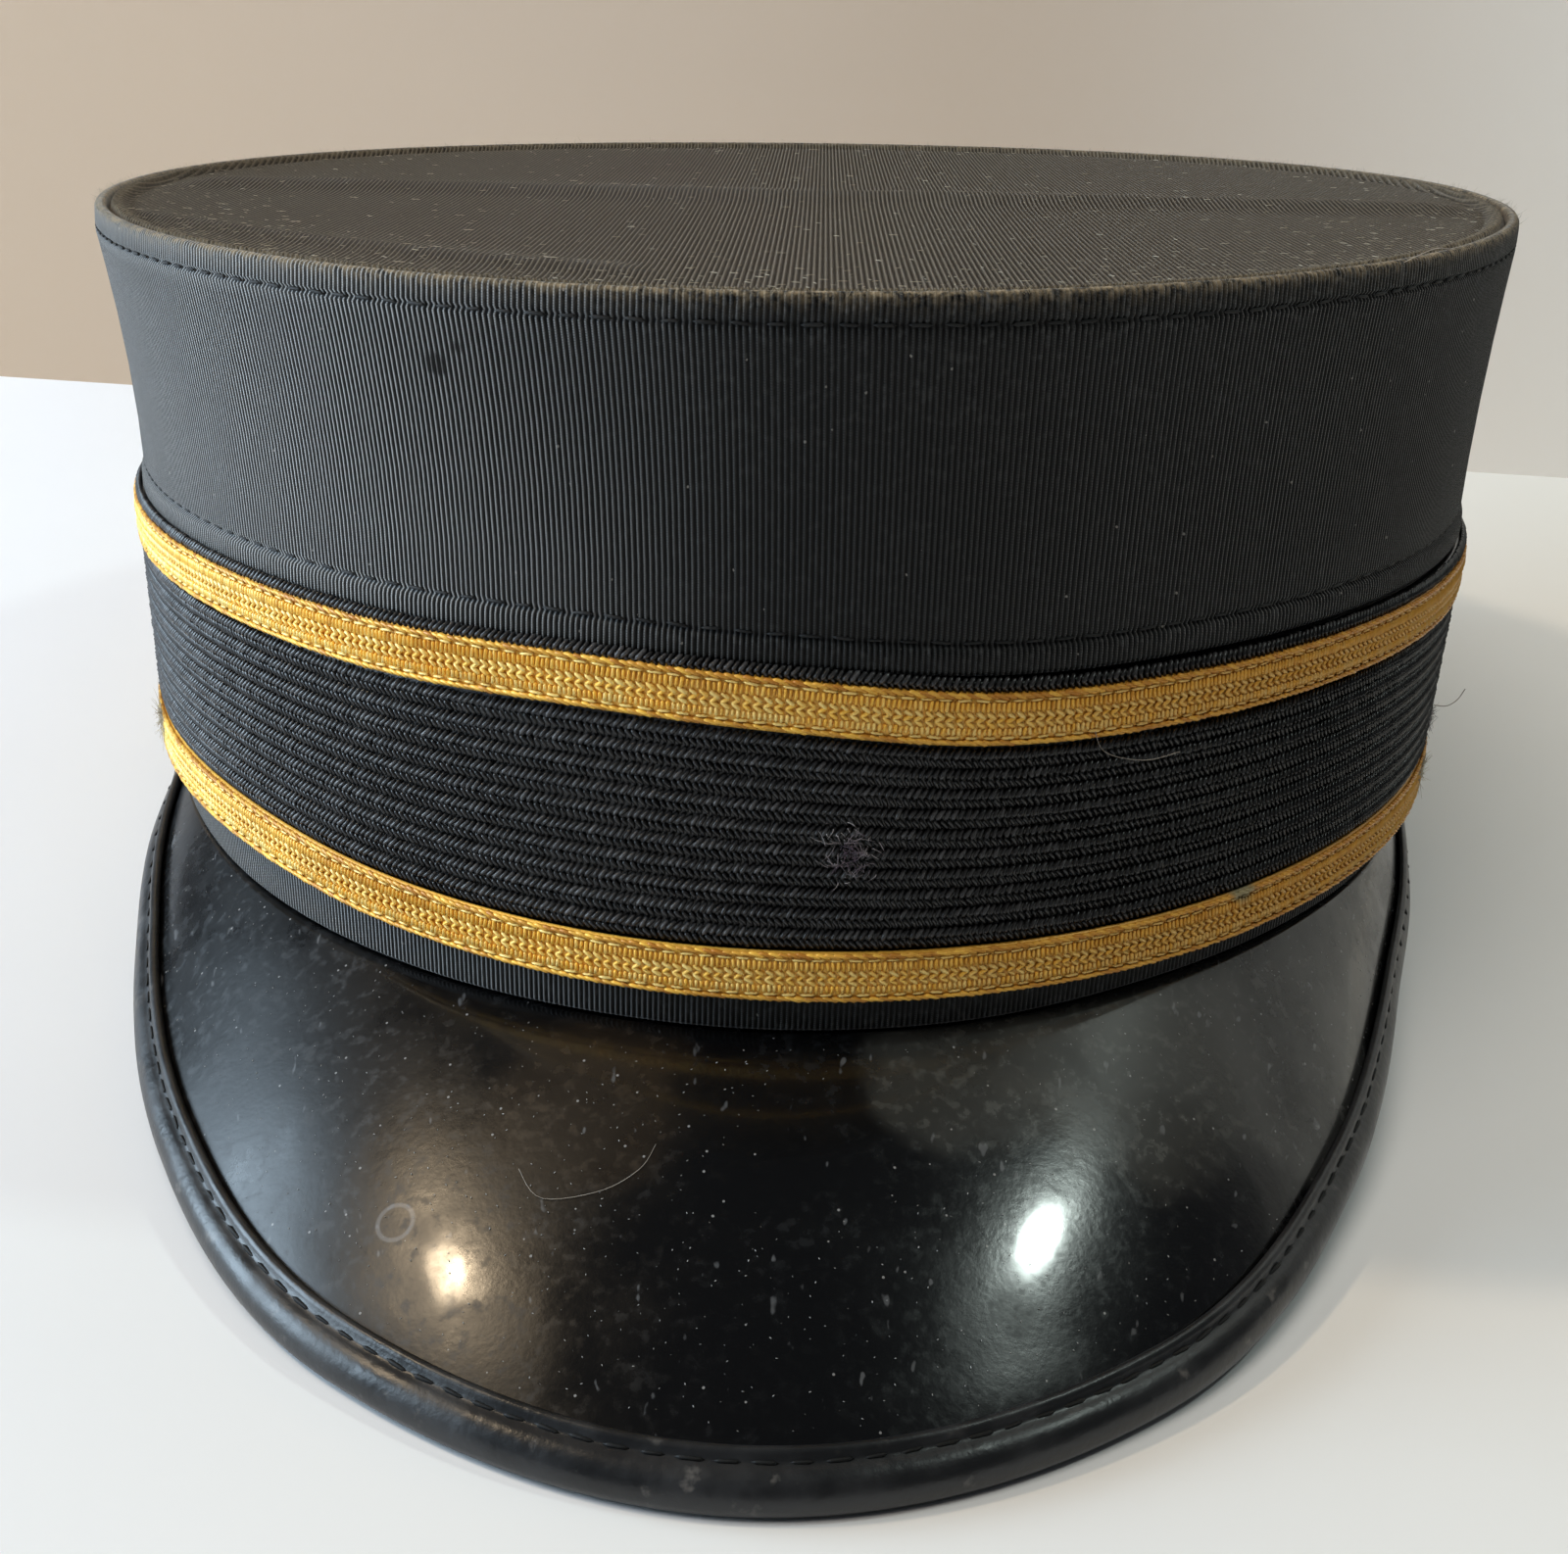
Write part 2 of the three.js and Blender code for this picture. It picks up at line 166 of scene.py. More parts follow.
@dataclass(frozen=True)
class CapForm:
    """The cap's surfaces, as ovals round its axis, in millimetres."""

    rest_tilt: float = 7.0
    rim_oval: tuple[float, float] = (85.9, 103.6)
    trim_flare: tuple[float, float] = (0.071, 0.074)
    hem_oval: tuple[float, float] = (86.9, 104.9)
    top_oval: tuple[float, float] = (89.8, 112.1)
    brow_taper: float = 0.02
    top_height: float = 78.6
    top_shift: tuple[float, float] = (-0.9, -1.3)
    nose_down: float = 0.75
    lean: float = 1.43
    saddle: float = 0.9
    flare_power: float = 1.6
    top_lip: float = 3.0
    cloth: float = 2.0
    base_inset: float = 2.6
    peak_gap: float = 0.5
    gap: float = 0.3
    trim_middle: float = 20.0

    def ring_height(self, level: Level, angle: Array) -> Array:
        """The height of a level round the cap; the back takes the mean of left and right.

        Args:
            level: The row of heights.
            angle: Angles round the cap, from its right side.

        Returns:
            The heights above the rim's plane.
        """
        side = np.cos(angle)
        here = side_value(level.value, side)
        even = (here + side_value(level.value, -side)) / 2
        return blend(here, even, smooth(np.sin(angle), -0.3, 0.4))

    def rim_height(self, angle: Array) -> Array:
        """The height of the rim's lower edge, which is flat across the back."""
        return self.ring_height(Level.RIM, angle) * (1 - smooth(np.sin(angle), 0.5, 0.8))

    def oval(self, half: tuple[Array, Array], inset: Array, angle: Array, height: Array) -> Array:
        """Points on an oval, moved in from it.

        Args:
            half: Half width and half length.
            inset: How far in from the oval.
            angle: Angles round the cap.
            height: Heights above the rim's plane.

        Returns:
            The points, one for each angle.
        """
        x = (half[0] - inset) * (1 + self.brow_taper * np.sin(angle)) * np.cos(angle)
        y = (half[1] - inset) * np.sin(angle)
        return np.stack(np.broadcast_arrays(x, y, height), -1)

    def trim(self, inset: Array, angle: Array, height: Array) -> Array:
        """Points on the flaring outer face of the trim, or inside it by an inset."""
        half = tuple(oval + flare * height for oval, flare in zip(self.rim_oval, self.trim_flare))
        return self.oval(half, inset, angle, height)

    def top_plane(self, points: Array) -> Array:
        """Points given from the middle of the top's plane, in the cap's frame."""
        turn = turn_x(self.nose_down) @ turn_y(-self.lean)
        return points @ turn.T + np.array([*self.top_shift, self.top_height])

    def top(self, inset: Array, angle: Array, rise: Array) -> Array:
        """Points near the edge of the top: inset from it, and a rise above its plane."""
        bend = self.saddle * (np.cos(angle) ** 2 - 0.5)
        return self.top_plane(self.oval(self.top_oval, inset, angle, bend + rise))

    def crown(self, share: Array, inset: Array, angle: Array) -> Array:
        """Points on the crown wall, a share of the way up from its hem, inset from its outer face."""
        lower = self.oval(self.hem_oval, inset, angle, self.ring_height(Level.HEM, angle))
        upper = self.top(inset, angle, 0.0)
        flare_end = 1 - self.top_lip / (upper[..., 2] - lower[..., 2])
        out = np.minimum(1.0, share / flare_end) ** self.flare_power
        points = blend(lower, upper, out[..., None])
        points[..., 2] = blend(lower[..., 2], upper[..., 2], share)
        return points

    def stand(self, points: Array) -> Array:
        """Points of the cap's frame as the cap rests, tipped up at the front."""
        turn = turn_x(-self.rest_tilt)
        lift = (self.rim_oval[1] - self.base_inset) * math.sin(math.radians(self.rest_tilt))
        return points @ turn.T + np.array([0.0, 0.0, lift])

    @cached_property
    def shift(self) -> Array:
        """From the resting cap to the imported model's frame, found from the base wall's box."""
        columns = 64
        angle = np.arange(columns) * 2 * math.pi / columns
        bottom = self.rim_height(angle) + self.peak_gap * (1 - smooth(np.sin(angle), -0.15, 0))
        top = self.ring_height(Level.HEM, angle) - self.gap
        rows = [self.trim(self.base_inset, angle, height) for height in (bottom, (bottom + top) / 2, top)]
        lowest = self.stand(np.concatenate(rows)).min(0)
        return np.array(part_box("base_wall")[0]) / MM - lowest

    def in_frame(self, standing: Array) -> Array:
        """Resting points in millimetres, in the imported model's frame in metres."""
        return (standing + self.shift) * MM

    def place(self, points: Array) -> Array:
        """Points of the cap's frame in millimetres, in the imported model's frame in metres."""
        return self.in_frame(self.stand(points))


@dataclass(frozen=True)
class PeakLines:
    """Lines that run out over the peak, one for each bearing, as the cap rests."""

    root: Array
    flange: Array
    out: Array
    up: Array
    length: Array


@dataclass(frozen=True)
class PeakForm:
    """The bowed peak and its outline, in millimetres."""

    cap: CapForm
    centre: tuple[float, float] = (-1.2, -45.0)
    reaches: tuple[float, ...] = (82.1, 78.3, 82.7, 93.1, 99.7, 92.4, 80.8, 76.6, 83.0)
    span: float = 100.0
    tip: float = 104.0
    front_height: float = 1.93
    tip_height: float = 15.0
    lift: float = 2.0
    sheet: float = 1.4
    root: float = 1.6
    bow: float = 1.6
    binding: float = 5.3
    tip_margin: float = 0.6

    def bearings(self, count: int) -> Array:
        """Bearings from one tip of the peak to the other."""
        return np.radians(np.linspace(self.tip, -self.tip, count))

    def reach(self, bearing: Array) -> Array:
        """How far the outer edge lies from the centre at some bearings."""
        return side_value(self.reaches, bearing / math.radians(self.tip))

    def lines(self, bearing: Array) -> PeakLines:
        """The peak's lines at some bearings.

        Args:
            bearing: Angles from straight ahead.

        Returns:
            Where each line starts, which way it runs, and how long it is.
        """
        cap = self.cap
        ahead = np.stack([np.sin(bearing), -np.cos(bearing)], -1)
        half = np.array(cap.rim_oval) - cap.base_inset
        d, m = ahead / half, np.array(self.centre) / half
        a, b, c = (d * d).sum(-1), (d * m).sum(-1), (m * m).sum() - 1
        hit = m + d * ((-b + np.sqrt(b * b - a * c)) / a)[:, None]
        angle = np.arctan2(hit[:, 1], hit[:, 0])
        rim = cap.rim_height(angle)
        root = cap.stand(cap.trim(cap.base_inset, angle, rim))
        flange = cap.stand(cap.trim(cap.base_inset + self.root, angle, rim))
        flat = np.array(self.centre) + ahead * self.reach(bearing)[:, None]
        front = self.centre[1] - self.reach(np.zeros(1))
        back = self.centre[1] - math.cos(math.radians(self.tip)) * self.span
        rise = np.clip((flat[:, 1] - front) / (back - front), 0, 1) ** self.lift
        edge = np.column_stack([flat, blend(self.front_height, self.tip_height, rise)])
        along = np.column_stack([np.cos(bearing), np.sin(bearing), np.zeros_like(bearing)])
        length = np.linalg.norm(edge - root, axis=-1)
        out = (edge - root) / length[:, None]
        return PeakLines(root, flange, out, unit(np.cross(out, along)), length)

    def point(self, lines: PeakLines, distance: Array, height: Array) -> Array:
        """Points on the peak's lines, as the cap rests: a distance out, and a height above the sheet."""
        distance = np.broadcast_to(distance, lines.length.shape)
        share = np.clip(distance / lines.length, 0, 1)
        bulge = self.bow * 4 * share * (1 - share) * np.minimum(1, lines.length / self.span / 0.4)
        over = np.broadcast_to(height, lines.length.shape) + bulge
        return lines.root + lines.out * distance[:, None] + lines.up * over[:, None]

    def binding_start(self, lines: PeakLines) -> Array:
        """Where the binding's inner edge lies on each line."""
        return np.maximum(lines.length - self.binding, self.tip_margin)


# ---------------------------------------------------------------- meshes


def add_piece(name: str, mesh: bpy.types.Mesh) -> Piece:
    """Links a mesh to the scene as an object at the origin."""
    piece = bpy.data.objects.new(name, mesh)
    bpy.context.scene.collection.objects.link(piece)
    return piece


def make_mesh(name: str, points: Array, faces: list, fields: dict[str, Array]) -> bpy.types.Mesh:
    """A smooth mesh from points in metres.

    Args:
        name: The mesh's name.
        points: Its points.
        faces: The corners of each face.
        fields: A number for each point, by the name of its attribute.

    Returns:
        The mesh.
    """
    mesh = bpy.data.meshes.new(name)
    mesh.from_pydata(points.reshape(-1, 3).tolist(), [], faces)
    for field, values in fields.items():
        layer = mesh.attributes.new(field, "FLOAT", "POINT")
        layer.data.foreach_set("value", np.ascontiguousarray(values, np.float32).ravel())
    mesh.polygons.foreach_set("use_smooth", [True] * len(mesh.polygons))
    mesh.validate()
    return mesh


def grid_mesh(name: str, points: Array, dust: Array) -> bpy.types.Mesh:
    """A mesh of a grid of points in metres, with a number for each point in the field dust."""
    rows, columns = points.shape[:2]
    r, c = np.meshgrid(np.arange(rows - 1), np.arange(columns - 1), indexing="ij")
    corners = [r * columns + c, r * columns + c + 1, (r + 1) * columns + c + 1, (r + 1) * columns + c]
    faces = np.stack(corners, -1).reshape(-1, 4)
    first = points.reshape(-1, 3)[faces[len(faces) // 2]]
    if np.cross(first[1] - first[0], first[3] - first[0])[2] < 0:
        faces = faces[:, ::-1]
    return make_mesh(name, points, faces.tolist(), {"dust": dust})


class Ends(Enum):
    """How the two ends of a strip of sections are finished."""

    RING = "joined to each other"
    CAPS = "closed by a flat face"


def sweep(name: str, sections: Array, ends: Ends, along: Array | None = None, **fields: Array) -> Piece:
    """A closed body from sections that are closed loops of points.

    Args:
        name: The piece's name.
        sections: Points in metres, as loop place by section by three.
        ends: How the first and last sections are finished.
        along: The UV map's first coordinate at each section, and for a ring once more at its end.
        **fields: A number for each point, by the name of its attribute.

    Returns:
        The piece, facing out, with a UV map in millimetres: along the strip, and round the loop.
    """
    places, count = sections.shape[:2]
    ring = ends is Ends.RING
    r, c = np.meshgrid(np.arange(places), np.arange(count if ring else count - 1), indexing="ij")
    corners = [(r, c), (r, c + 1), (r + 1, c + 1), (r + 1, c)]
    quads = np.stack([(a % places) * count + b % count for a, b in corners], -1).reshape(-1, 4)
    round_loop = np.roll(sections, -1, 0) - sections
    v = np.concatenate([[0], np.cumsum(np.linalg.norm(round_loop, axis=-1).mean(1))]) / MM
    steps = np.linalg.norm(np.roll(sections, -1, 1) - sections, axis=-1).max(0)
    u = np.concatenate([[0], np.cumsum(steps)]) / MM if along is None else along
    uv = np.stack([np.stack([u[b], v[a]], -1) for a, b in corners], -2).reshape(-1, 4, 2)
    flat = sections.reshape(-1, 3)
    a, b, c3, d = (flat[quads[:, k]] for k in range(4))
    volume = (np.cross(a, b) * c3).sum() + (np.cross(a, c3) * d).sum()
    faces = quads.tolist()
    if ends is Ends.CAPS:
        faces += [[k * count for k in range(places)][::-1]]
        faces += [[k * count + count - 1 for k in range(places)]]
    if volume < 0:
        faces = [face[::-1] for face in faces]
        uv = uv[:, ::-1]
    mesh = make_mesh(name, sections, faces, fields)
    layer = mesh.uv_layers.new(name=UV)
    values = np.zeros((len(mesh.loops), 2), np.float32)
    values[: len(uv) * 4] = uv.reshape(-1, 2)
    layer.data.foreach_set("uv", values.ravel())
    return add_piece(name, mesh)


def spindle(name: str, shoulder: float) -> Piece:
    """A thread of one unit each way along X, drawn to a point at both ends.

    Args:
        name: Its name.
        shoulder: How far from the middle it keeps its full thickness.

    Returns:
        The thread, which is not shown itself.
    """
    ring = [(0, 0.5, 0), (0, 0, 0.5), (0, -0.5, 0), (0, 0, -0.5)]
    points = [(-0.5, 0, 0), *((x - shoulder, y, z) for x, y, z in ring)]
    points += [*((x + shoulder, y, z) for x, y, z in ring), (0.5, 0, 0)]
    faces = []
    for i in range(4):
        n = (i + 1) % 4
        faces += [[0, 1 + n, 1 + i], [1 + i, 1 + n, 5 + n, 5 + i], [5 + i, 5 + n, 9]]
    piece = add_piece(name, make_mesh(name, np.array(points, float), faces, {}))
    piece.hide_render = True
    return piece


def fibres(name: str, roots: Array, ways: Array, bends: Array, radius: float) -> Piece:
    """Short curved hairs, each a three-sided tube drawn to a point.

    Args:
        name: The piece's name.
        roots: Where each hair starts, in metres.
        ways: From its start to where it would end if it were straight.
        bends: How far its end is carried off that way.
        radius: Its thickness at the start, in metres.

    Returns:
        The hairs as one piece.
    """
    share = np.linspace(0, 1, 5)[None, :, None]
    line = roots[:, None] + ways[:, None] * share + bends[:, None] * share**2
    across = unit(np.cross(ways, bends + np.array([0.0, 1e-6, 2e-6])))
    other = unit(np.cross(ways, across))
    return tube(name, line, across[:, None], other[:, None], radius * (1 - 0.7 * share))


def tube(name: str, line: Array, across: Array, other: Array, radius: Array) -> Piece:
    """Three-sided closed tubes round lines of points, as one piece.

    Args:
        name: The piece's name.
        line: Points, as tube by place by three.
        across: For each tube, or for each of its places, a direction across it.
        other: The directions across both.
        radius: For each place, the tube's radius.

    Returns:
        The piece.
    """
    count, places = line.shape[:2]
    turns = np.arange(3) * 2 * math.pi / 3
    spokes = across[:, :, None] * np.cos(turns)[:, None] + other[:, :, None] * np.sin(turns)[:, None]
    points = line[:, :, None] + spokes * radius[..., None]
    base = (np.arange(count) * places * 3)[:, None, None]
    k = (np.arange(places - 1) * 3)[None, :, None]
    i, n = np.arange(3)[None, None], ((np.arange(3) + 1) % 3)[None, None]
    corners = [base + k + i, base + k + n, base + k + 3 + n, base + k + 3 + i]
    quads = np.stack(np.broadcast_arrays(*corners), -1).reshape(-1, 4)
    first = base[:, 0] + np.array([2, 1, 0])
    last = base[:, 0] + (places - 1) * 3 + np.array([0, 1, 2])
    faces = quads.tolist() + first.tolist() + last.tolist()
    return add_piece(name, make_mesh(name, points, faces, {}))


def curve_through(points: Sequence[Sequence[float]], count: int) -> Array:
    """A smooth curve through some points.

    Args:
        points: The points that it passes.
        count: How many points to give back.

    Returns:
        Points along the curve.
    """
    known = np.array([points[0], *points, points[-1]], float)
    place = np.linspace(0, len(points) - 1.0001, count)
    i = np.floor(place).astype(int)
    t = (place - i)[:, None]
    a, b, c, d = (known[i + k] for k in range(4))
    return 0.5 * (2 * b + (c - a) * t + (2 * a - 5 * b + 4 * c - d) * t**2 + (3 * b - a - 3 * c + d) * t**3)


def hair(name: str, points: Array, radius: float) -> Piece:
    """One long hair or loose thread through points in metres."""
    way = unit(np.gradient(points, axis=0))
    across = unit(np.cross(way, np.array([0.13, 0.31, 0.94])))
    other = np.cross(way, across)
    return tube(name, points[None], across[None], other[None], np.full((1, len(points), 1), radius))


# ---------------------------------------------------------------- node trees


class Nodes:
    """Adds nodes to a tree in one line each, and joins them."""

    def __init__(self, tree: bpy.types.NodeTree) -> None:
        self.tree = tree

    def add(self, kind: str, inputs: dict | None = None, out: int | str = 0, **settings) -> Socket:
        """Adds a node.

        Args:
            kind: The node's type.
            inputs: For each input's name or number, a value or a socket to join to it.
            out: Which output to give back.
            **settings: The node's own settings.

        Returns:
            One of the node's outputs.
        """
        node = self.tree.nodes.new(kind)
        for setting, value in settings.items():
            setattr(node, setting, value)
        for key, value in (inputs or {}).items():
            if isinstance(value, Socket):
                self.tree.links.new(value, node.inputs[key])
            else:
                node.inputs[key].default_value = value
        return node.outputs[out]

    def math(self, operation: str, *values: float | Socket) -> Socket:
        """A sum, product or other operation on numbers."""
        return self.add("ShaderNodeMath", dict(enumerate(values)), operation=operation)

    def random(self, low: float, high: float, seed: Socket, salt: int) -> Socket:
        """A random number for each point or instance, which differs with the salt."""
        mixed = self.math("ADD", seed, float(salt))
        return self.add("FunctionNodeRandomValue", {2: low, 3: high, 8: mixed}, out=1)


class Growth:
    """Geometry Nodes trees that lay threads along a path, or scatter specks over a cloth."""

    THREAD_SIZES = ("Length", "Width", "Height", "Tone", "Tone Spread")

    def __init__(self) -> None:
        self.row_tree = self._thread_row()
        self.scatter_tree = self._scatter()

    @classmethod
    def _begin(cls, name: str, *sizes: str) -> tuple[Nodes, bpy.types.Node]:
        """Starts a tree with a mesh in and out.

        Args:
            name: The tree's name.
            *sizes: The names of the inputs that only this tree has.

        Returns:
            The tree, and its input node.
        """
        tree = bpy.data.node_groups.new(name, "GeometryNodeTree")
        tree.interface.new_socket("Mesh", in_out="OUTPUT", socket_type="NodeSocketGeometry")
        sockets = {"Mesh": "Geometry", "Thread": "Object", "Seed": "Int", "Material": "Material"}
        sockets |= dict.fromkeys((*sizes, *cls.THREAD_SIZES), "Float")
        for socket, kind in sockets.items():
            tree.interface.new_socket(socket, in_out="INPUT", socket_type=f"NodeSocket{kind}")
        return Nodes(tree), tree.nodes.new("NodeGroupInput")

    @staticmethod
    def _end(
        nodes: Nodes,
        given: bpy.types.Node,
        points: Socket,
        facing: Socket,
        angle: Socket,
        swell: tuple[float, float],
    ) -> bpy.types.NodeTree:
        """Ends a tree: puts a thread on each point, makes the threads real and sets their material.

        Args:
            nodes: The tree.
            given: Its input node.
            points: Where the threads go.
            facing: For each point, which way its thread faces.
            angle: How far each thread is turned about the way off the cloth.
            swell: The smallest and the largest multiple of the given size.

        Returns:
            The tree.
        """
        seed = given.outputs["Seed"]
        spin = nodes.add("FunctionNodeAxisAngleToRotation", {"Axis": (0.0, 0.0, 1.0), "Angle": angle})
        turns = {"Rotation": facing, "Rotate By": spin}
        turned = nodes.add("FunctionNodeRotateRotation", turns, rotation_space="LOCAL")
        lengths = [given.outputs[name] for name in ("Length", "Width", "Height")]
        size = nodes.add("ShaderNodeCombineXYZ", dict(enumerate(lengths)))
        multiple = nodes.random(*swell, seed, 2)
        scale = nodes.add("ShaderNodeVectorMath", {0: size, "Scale": multiple}, operation="SCALE")
        thread = nodes.add("GeometryNodeObjectInfo", {"Object": given.outputs["Thread"]}, out="Geometry")
        laying = {"Points": points, "Instance": thread, "Rotation": turned, "Scale": scale}
        laid = nodes.add("GeometryNodeInstanceOnPoints", laying)
        spread = nodes.random(-1.0, 1.0, seed, 3)
        tone = nodes.math("MULTIPLY_ADD", spread, given.outputs["Tone Spread"], given.outputs["Tone"])
        toning = {"Geometry": laid, "Name": "tone", "Value": tone}
        toned = nodes.add("GeometryNodeStoreNamedAttribute", toning, data_type="FLOAT", domain="INSTANCE")
        real = nodes.add("GeometryNodeRealizeInstances", {"Geometry": toned})
        done = nodes.add("GeometryNodeSetMaterial", {"Geometry": real, "Material": given.outputs["Material"]})
        end = nodes.tree.nodes.new("NodeGroupOutput")
        nodes.tree.links.new(done, end.inputs["Mesh"])
        return nodes.tree

    def _thread_row(self) -> bpy.types.NodeTree:
        """Threads at a pitch along a path whose points know which way is outward."""
        nodes, given = self._begin("row of threads", "Pitch", "Lean", "Wobble")
        path = nodes.add("GeometryNodeMeshToCurve", {"Mesh": given.outputs["Mesh"]})
        spacing = {"Curve": path, "Length": given.outputs["Pitch"]}
        steps = nodes.add("GeometryNodeResampleCurve", spacing, mode="LENGTH")
        outward = nodes.add("GeometryNodeInputNamedAttribute", {"Name": "outward"}, data_type="FLOAT_VECTOR")
        axes = {0: outward, 1: nodes.add("GeometryNodeInputTangent")}
        facing = nodes.add("FunctionNodeAxesToRotation", axes, primary_axis="Z", secondary_axis="X")
        spread = nodes.random(-1.0, 1.0, given.outputs["Seed"], 1)
        lean = nodes.math("MULTIPLY_ADD", spread, given.outputs["Wobble"], given.outputs["Lean"])
        return self._end(nodes, given, steps, facing, lean, (0.86, 1.14))

    def _scatter(self) -> bpy.types.NodeTree:
        """Specks and short threads strewn over a cloth, thickest where its dust field is high."""
        nodes, given = self._begin("strewn specks", "Density")
        dust = nodes.add("GeometryNodeInputNamedAttribute", {"Name": "dust"}, data_type="FLOAT")
        density = nodes.math("MULTIPLY", given.outputs["Density"], dust)
        cloth = {"Mesh": given.outputs["Mesh"], "Density": density, "Seed": given.outputs["Seed"]}
        points = nodes.add("GeometryNodeDistributePointsOnFaces", cloth, out="Points")
        angle = nodes.random(-math.pi, math.pi, given.outputs["Seed"], 1)
        return self._end(nodes, given, points, points.node.outputs["Rotation"], angle, (0.4, 1.4))

    @staticmethod
    def grow(name: str, tree: bpy.types.NodeTree, carrier: bpy.types.Mesh, inputs: dict) -> Piece:
        """Runs a tree on a mesh and keeps what it makes as a plain mesh.

        Args:
            name: The new piece's name.
            tree: One of the trees.
            carrier: The path or the cloth that it grows on.
            inputs: A value for each of the tree's named inputs.

        Returns:
            The piece.
        """
        host = add_piece(name, carrier)
        modifier = host.modifiers.new(tree.name, "NODES")
        modifier.node_group = tree
        for item in tree.interface.items_tree:
            if item.item_type == "SOCKET" and item.in_out == "INPUT" and item.name in inputs:
                modifier[item.identifier] = inputs[item.name]
        graph = bpy.context.evaluated_depsgraph_get()
        grown = host.evaluated_get(graph)
        mesh = bpy.data.meshes.new_from_object(grown, preserve_all_data_layers=True, depsgraph=graph)
        host.modifiers.clear()
        host.data = mesh
        bpy.data.meshes.remove(carrier)
        mesh.name = name
        return host


@dataclass(frozen=True)
class ThreadRow:
    """A row of threads along a path; sizes in millimetres, angles in degrees."""

    pitch: float
    length: float
    width: float
    height: float
    lean: float = 0.0
    wobble: float = 4.0
    tone: float = 0.5
    tone_spread: float = 0.12

    def lay(self, name: str, path: Array, outward: Array, loop: bool, kit: "Kit", finish: str) -> Piece:
        """Lays the row.

        Args:
            name: The piece's name.
            path: Points in metres.
            outward: For each point, the direction off the cloth.
            loop: Whether the path is closed.
            kit: The trees, threads and materials.

        Returns:
            The piece.
        """
        count = len(path)
        carrier = bpy.data.meshes.new(name)
        edges = [(i, (i + 1) % count) for i in range(count if loop else count - 1)]
        carrier.from_pydata(path.tolist(), edges, [])
        layer = carrier.attributes.new("outward", "FLOAT_VECTOR", "POINT")
        layer.data.foreach_set("vector", np.ascontiguousarray(outward, np.float32).ravel())
        sizes = {
            "Pitch": self.pitch * MM,
            "Length": self.length * MM,
            "Width": self.width * MM,
            "Height": self.height * MM,
            "Lean": math.radians(self.lean),
            "Wobble": math.radians(self.wobble),
            "Tone": self.tone,
            "Tone Spread": self.tone_spread,
        }
        return kit.grow(name, kit.growth.row_tree, carrier, finish, sizes)


def join(name: str, pieces: Sequence[Piece]) -> Piece:
    """Joins pieces into one with a new name."""
    with bpy.context.temp_override(active_object=pieces[0], selected_editable_objects=list(pieces)):
        bpy.ops.object.join()
    pieces[0].name = pieces[0].data.name = name
    return pieces[0]


# ---------------------------------------------------------------- finishes


class Span(NamedTuple):
    """Where a look starts to show along one of the frame's axes, and where it shows in full, in metres."""

    start: float
    full: float


class Stain(NamedTuple):
    """A ragged patch of another colour round a place in the frame, in metres."""

    x: float
    y: float
    z: float
    radius: float
    colour: Colour


